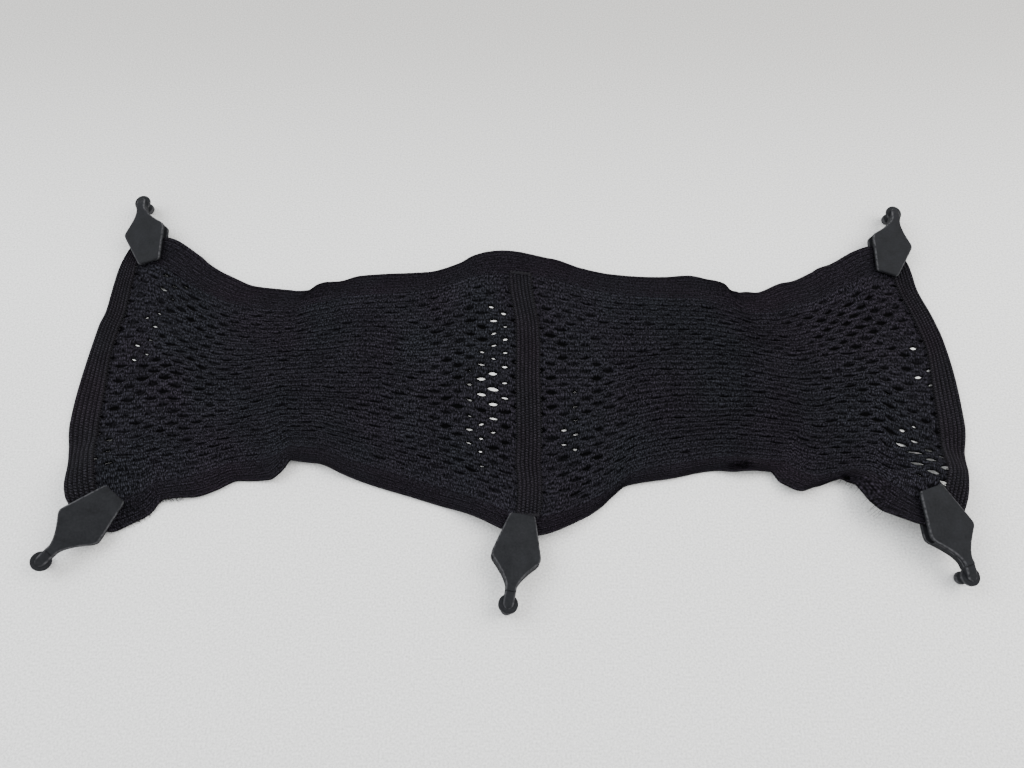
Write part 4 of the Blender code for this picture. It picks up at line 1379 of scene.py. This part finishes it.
@dataclass
class Clip:
    """A two-shell clip: its cover, its back shell with the neck, and its turned pin."""

    place: ClipPlace
    corner: int = 6
    pin_around: int = 40

    def set_in_place(self, shape: Shape) -> Shape:
        """The shape turned and moved from the clip's own axes into the layout."""
        points = shape.points @ CLIP_SIZES.turn(self.place).T + CLIP_SIZES.origin(self.place)
        points[:, 2] = np.maximum(points[:, 2], 0)
        return Shape(points, shape.faces, shape.weave, shape.relief)

    def loft(self, along: Array, half: Array, low: Array, high: Array,
             foot: Array, brow: Array) -> Shape:  # fmt: skip
        """A closed body through rounded rectangles, with its painted-highlight mask on the upper
        corners.

        Args:
            along: the sections' places, from the cut end to the pin.
            half: half widths.
            low: lower faces' heights.
            high: upper faces' heights.
            foot: radius of the lower corners.
            brow: radius of the upper corners.

        Returns:
            The body, its sections counted anticlockwise seen from the pin.
        """
        turn = np.linspace(0, math.pi / 2, self.corner)
        parts = []
        spans = (
            (-math.pi / 2, half - foot, low + foot, foot),
            (0.0, half - brow, high - brow, brow),
            (math.pi / 2, brow - half, high - brow, brow),
            (math.pi, foot - half, low + foot, foot),
        )
        for start, *corner in spans:
            x, z, radius = (values[:, None] for values in corner)
            across = x + radius * np.cos(start + turn)
            height = z + radius * np.sin(start + turn)
            parts.append(np.stack([along[:, None] + 0 * across, across, height], axis=-1))
        points = np.concatenate(parts, axis=1)
        # mask for the painted highlight on the bevels of the upper corners
        peak = np.sin(2 * turn)
        edge = np.concatenate([0 * peak, peak, peak, 0 * peak])
        return tube_shape(points, relief=np.broadcast_to(edge, points.shape[:2]))

    @staticmethod
    def bevelled(bevel: float, steps: int, length: float, places: int) -> tuple:
        """Places along a shell with a rounded cut end, and how far it is drawn in at each."""
        turn = np.linspace(0, math.pi / 2, steps)
        along = [bevel * (1 - np.cos(turn)), np.linspace(bevel, length, places)[1:]]
        inset = [bevel * (1 - np.sin(turn)), np.zeros(places - 1)]
        return np.concatenate(along), np.concatenate(inset)

    def cover_shape(self) -> Shape:
        """The front shell: a kite with rounded corners and a soft bevel all round."""
        sizes = CLIP_SIZES
        along, inset = self.bevelled(sizes.cover_bevel, 7, sizes.cover_tip, 60)
        half = sizes.half_width(along) - 0.8 * inset
        low = np.full_like(along, sizes.shell + sizes.slot) + 0.15 * inset
        high = low + sizes.shell - 0.75 * inset
        foot = np.full_like(along, 0.25)
        return self.loft(along, half, low, high, foot, np.minimum(0.85, (high - low) * 0.6))

    def body_shape(self) -> Shape:
        """The back shell, the shoulder that carries the cover, and the neck's dipped end."""
        sizes = CLIP_SIZES
        shell, inset = self.bevelled(sizes.shell_bevel, 6, sizes.shoulder_at, 30)
        neck = np.linspace(sizes.shoulder_at + 0.5, sizes.dip_at - 0.08, 28)
        along = np.concatenate([shell, [sizes.shoulder_at + 0.1], neck, [sizes.dip_at]])
        half = sizes.half_width(along)
        half[: len(shell)] -= inset
        top = sizes.shell + sizes.slot - 0.25
        high = np.where(along <= sizes.shoulder_at, sizes.shell, top)
        high = np.where(along >= sizes.dip_at, sizes.neck_high, high)
        run = (along - sizes.shoulder_at) / (sizes.flare_end - sizes.shoulder_at)
        low = sizes.neck_low * np.clip(run, 0, 1)
        end = np.linspace(sizes.dip_at + 0.3, sizes.pin_at + 2.3, 27)
        past = np.clip((end - 39.9) / 2.45, 0, 1)
        half_end = sizes.half_neck * np.sqrt(np.clip(1 - past**2, 0.02, 1))
        high_end, low_end = (smooth_through(*np.array(dip), end) for dip in (DIP_TOP, DIP_FOOT))
        along, half = np.concatenate([along, end]), np.concatenate([half, half_end])
        low, high = np.concatenate([low, low_end]), np.concatenate([high, high_end])
        room = np.minimum(high - low, 2 * half)
        small = np.minimum(0.4, 0.35 * room)
        brow = np.where(along >= sizes.dip_at, np.minimum(0.9, 0.42 * room), small)
        return self.loft(along, half, low, high, small, brow)

    def pin_shape(self) -> Shape:
        """The pin, its profile turned about its axis: flange, stem and rounded head."""
        angle = np.arange(self.pin_around) * 2 * math.pi / self.pin_around
        radius, height = PIN_PROFILE[::-1, 0, None], PIN_PROFILE[::-1, 1, None]
        x, y = CLIP_SIZES.pin_at + radius * np.cos(angle), radius * np.sin(angle)
        # mask for the painted highlight on the rims of the flange and of the head
        rim = np.where((radius > 4.2) | (radius > 2.7) & (height < 0), 0.8, 0.0)
        points = np.stack([x, y, height + 0 * angle], axis=-1)
        return tube_shape(points, relief=rim + 0 * angle)

    def make(self, workshop: Workshop) -> list:
        """Makes the clip's pieces in place of its two CAD nodes."""
        name = self.place.name
        cover = self.set_in_place(self.cover_shape())
        body = self.set_in_place(self.body_shape().joined(self.pin_shape()))
        return [
            workshop.piece(f"{name}_cover_shell", cover, CLIP_PLASTIC, f"{name}_cover"),
            workshop.piece(f"{name}_back_and_pin", body, CLIP_PLASTIC, f"{name}_body"),
        ]


# ---------------------------------------------------------------- the assemblies


@dataclass
class NetPanel:
    """The knitted net: two halves of open mesh between two dense hems."""

    left_columns: int = 35
    right_columns: int = 34

    def make(self, workshop: Workshop) -> list:
        """Makes both halves and both hems in place of the panel's node."""
        halves = (
            KnittedMesh("net_mesh_left", NET.side_left, 0.5 - NET.tape_half, self.left_columns),
            KnittedMesh("net_mesh_right", 0.5 + NET.tape_half, NET.side_right,
                        self.right_columns, seed=11),
        )
        meshes = [
            workshop.piece(half.name, half.shape(), MESH_YARN, "net_panel") for half in halves
        ]
        fibres = LooseFibres().make(workshop)
        hems = [
            workshop.piece(hem.name, hem.shape(), HEM_YARN, "net_panel")
            for hem in (Hem("net_hem_front", False), Hem("net_hem_rear", True))
        ]
        return [*meshes, *hems, fibres]


@dataclass
class Bands:
    """The side bands and the middle tape."""

    def make(self, workshop: Workshop) -> list:
        """Makes the seams, and the three bands in place of their nodes."""
        bands = (
            (RibbedBand("elastic_band_left", Side.LEFT, 6), "side_band_left", 12.5, 162),
            (RibbedBand("elastic_band_right", Side.RIGHT, 6), "side_band_right", 12.5, 162),
            (RibbedBand("elastic_tape_middle", Side.MIDDLE, 6), "centre_tape", 11.5, 139),
        )
        under = {Side.LEFT: ["net_mesh_left"], Side.RIGHT: ["net_mesh_right"]}
        seams = ZigzagSeams().make(workshop)
        made = [seams]
        for band, node, width, length in bands:
            piece = workshop.piece(band.name, band.shape(), BAND_YARN, node)
            under.get(band.side, ["net_mesh_left", "net_mesh_right"])  # fmt: skip
            made.append(piece)
        return made


@dataclass
class Stage:
    """The surface it lies on, the lights and the camera."""

    distance: float = 0.395
    elevation_deg: float = 62.5
    focal: float = 27.77
    floor_reach: float = 4.0
    # the far and the near tone paint the fall-off of light: the surface is painted darker far off
    tone_fade: tuple[float, float] = (0.30, 0.04)  # where along Y the far tone turns near
    far_tone: tuple[float, float, float] = (0.52, 0.51, 0.49)
    near_tone: tuple[float, float, float] = (0.82, 0.82, 0.81)

    def floor(self) -> None:
        """A plain pale surface, with painted shade that darkens it far off, and a faint
        unevenness of tone.
        """
        far = self.floor_reach
        corners = ((-far, -far, 0), (far, -far, 0), (far, far, 0), (-far, far, 0))
        mesh = bpy.data.meshes.new("surface")
        mesh.from_pydata(corners, [], [(0, 1, 2, 3)])
        material, nodes, shader = new_material("pale surface", 0.8, 0.2)
        place = nodes.add("ShaderNodeTexCoord").outputs["Object"]
        parts = nodes.add("ShaderNodeSeparateXYZ")
        nodes.put(place, parts.inputs[0])
        nearer = nodes.add("ShaderNodeMapRange", interpolation_type="SMOOTHSTEP")
        nodes.put(parts.outputs["Y"], nearer.inputs["Value"])
        for end, value in zip(("From Min", "From Max"), self.tone_fade):
            nodes.put(value, nearer.inputs[end])
        # painted shade: the surface is painted darker far off, where less light falls
        broad = nodes.mix(nearer.outputs[0], self.far_tone, self.near_tone)
        grain = nodes.mix(nodes.noise(place, 1100, 3), (0.5, 0.5, 0.5), (1.46, 1.46, 1.46))
        nodes.put(nodes.mix(1.0, broad, grain, "MULTIPLY"), shader["Base Color"])
        mesh.materials.append(material)
        placed("surface", mesh)

    def light(self, name: str, place: tuple, size: float, power: float, colour: tuple) -> None:
        """A soft square light that faces the net's middle."""
        data = bpy.data.lights.new(name, "AREA")
        data.size, data.energy, data.color = size, power, colour
        lamp = placed(name, data)
        lamp.location = place
        away = np.array(place) / np.linalg.norm(place)
        lamp.rotation_euler = (math.acos(away[2]), 0, math.atan2(away[0], -away[1]))

    def build(self) -> None:
        """Sets the surface, two soft lights, the room's glow and the camera."""
        self.floor()
        self.light("left window", (-0.9, 0.25, 1.0), 0.9, 13, (0.95, 0.98, 1.0))
        self.light("right window", (0.9, 0.1, 1.0), 0.9, 15, (1.0, 0.975, 0.94))
        world = bpy.data.worlds.new("room")
        world.use_nodes = True
        glow = world.node_tree.nodes["Background"].inputs
        glow["Color"].default_value = (0.98, 0.99, 1.0, 1)
        glow["Strength"].default_value = 1.3
        bpy.context.scene.world = world
        data = bpy.data.cameras.new("camera")
        data.sensor_width, data.lens = 36.0, self.focal
        camera = placed("camera", data)
        elevation = math.radians(self.elevation_deg)
        camera.location = (
            LAYOUT_SHIFT[0] * MM,
            LAYOUT_SHIFT[1] * MM - self.distance * math.cos(elevation),
            self.distance * math.sin(elevation),
        )
        camera.rotation_euler = (math.pi / 2 - elevation, 0, 0)
        bpy.context.scene.camera = camera


def main() -> None:
    """Builds the stage, the net, its bands and its clips, and reports each piece."""
    logging.basicConfig(level=logging.INFO, format="%(name)s: %(message)s", stream=sys.stdout)
    Stage().build()
    workshop = Workshop()
    made = NetPanel().make(workshop) + Bands().make(workshop)
    for place in CLIPS:
        made += Clip(place).make(workshop)
    LOG.info("%d pieces", len(made))


if __name__ == "__main__":
    main()
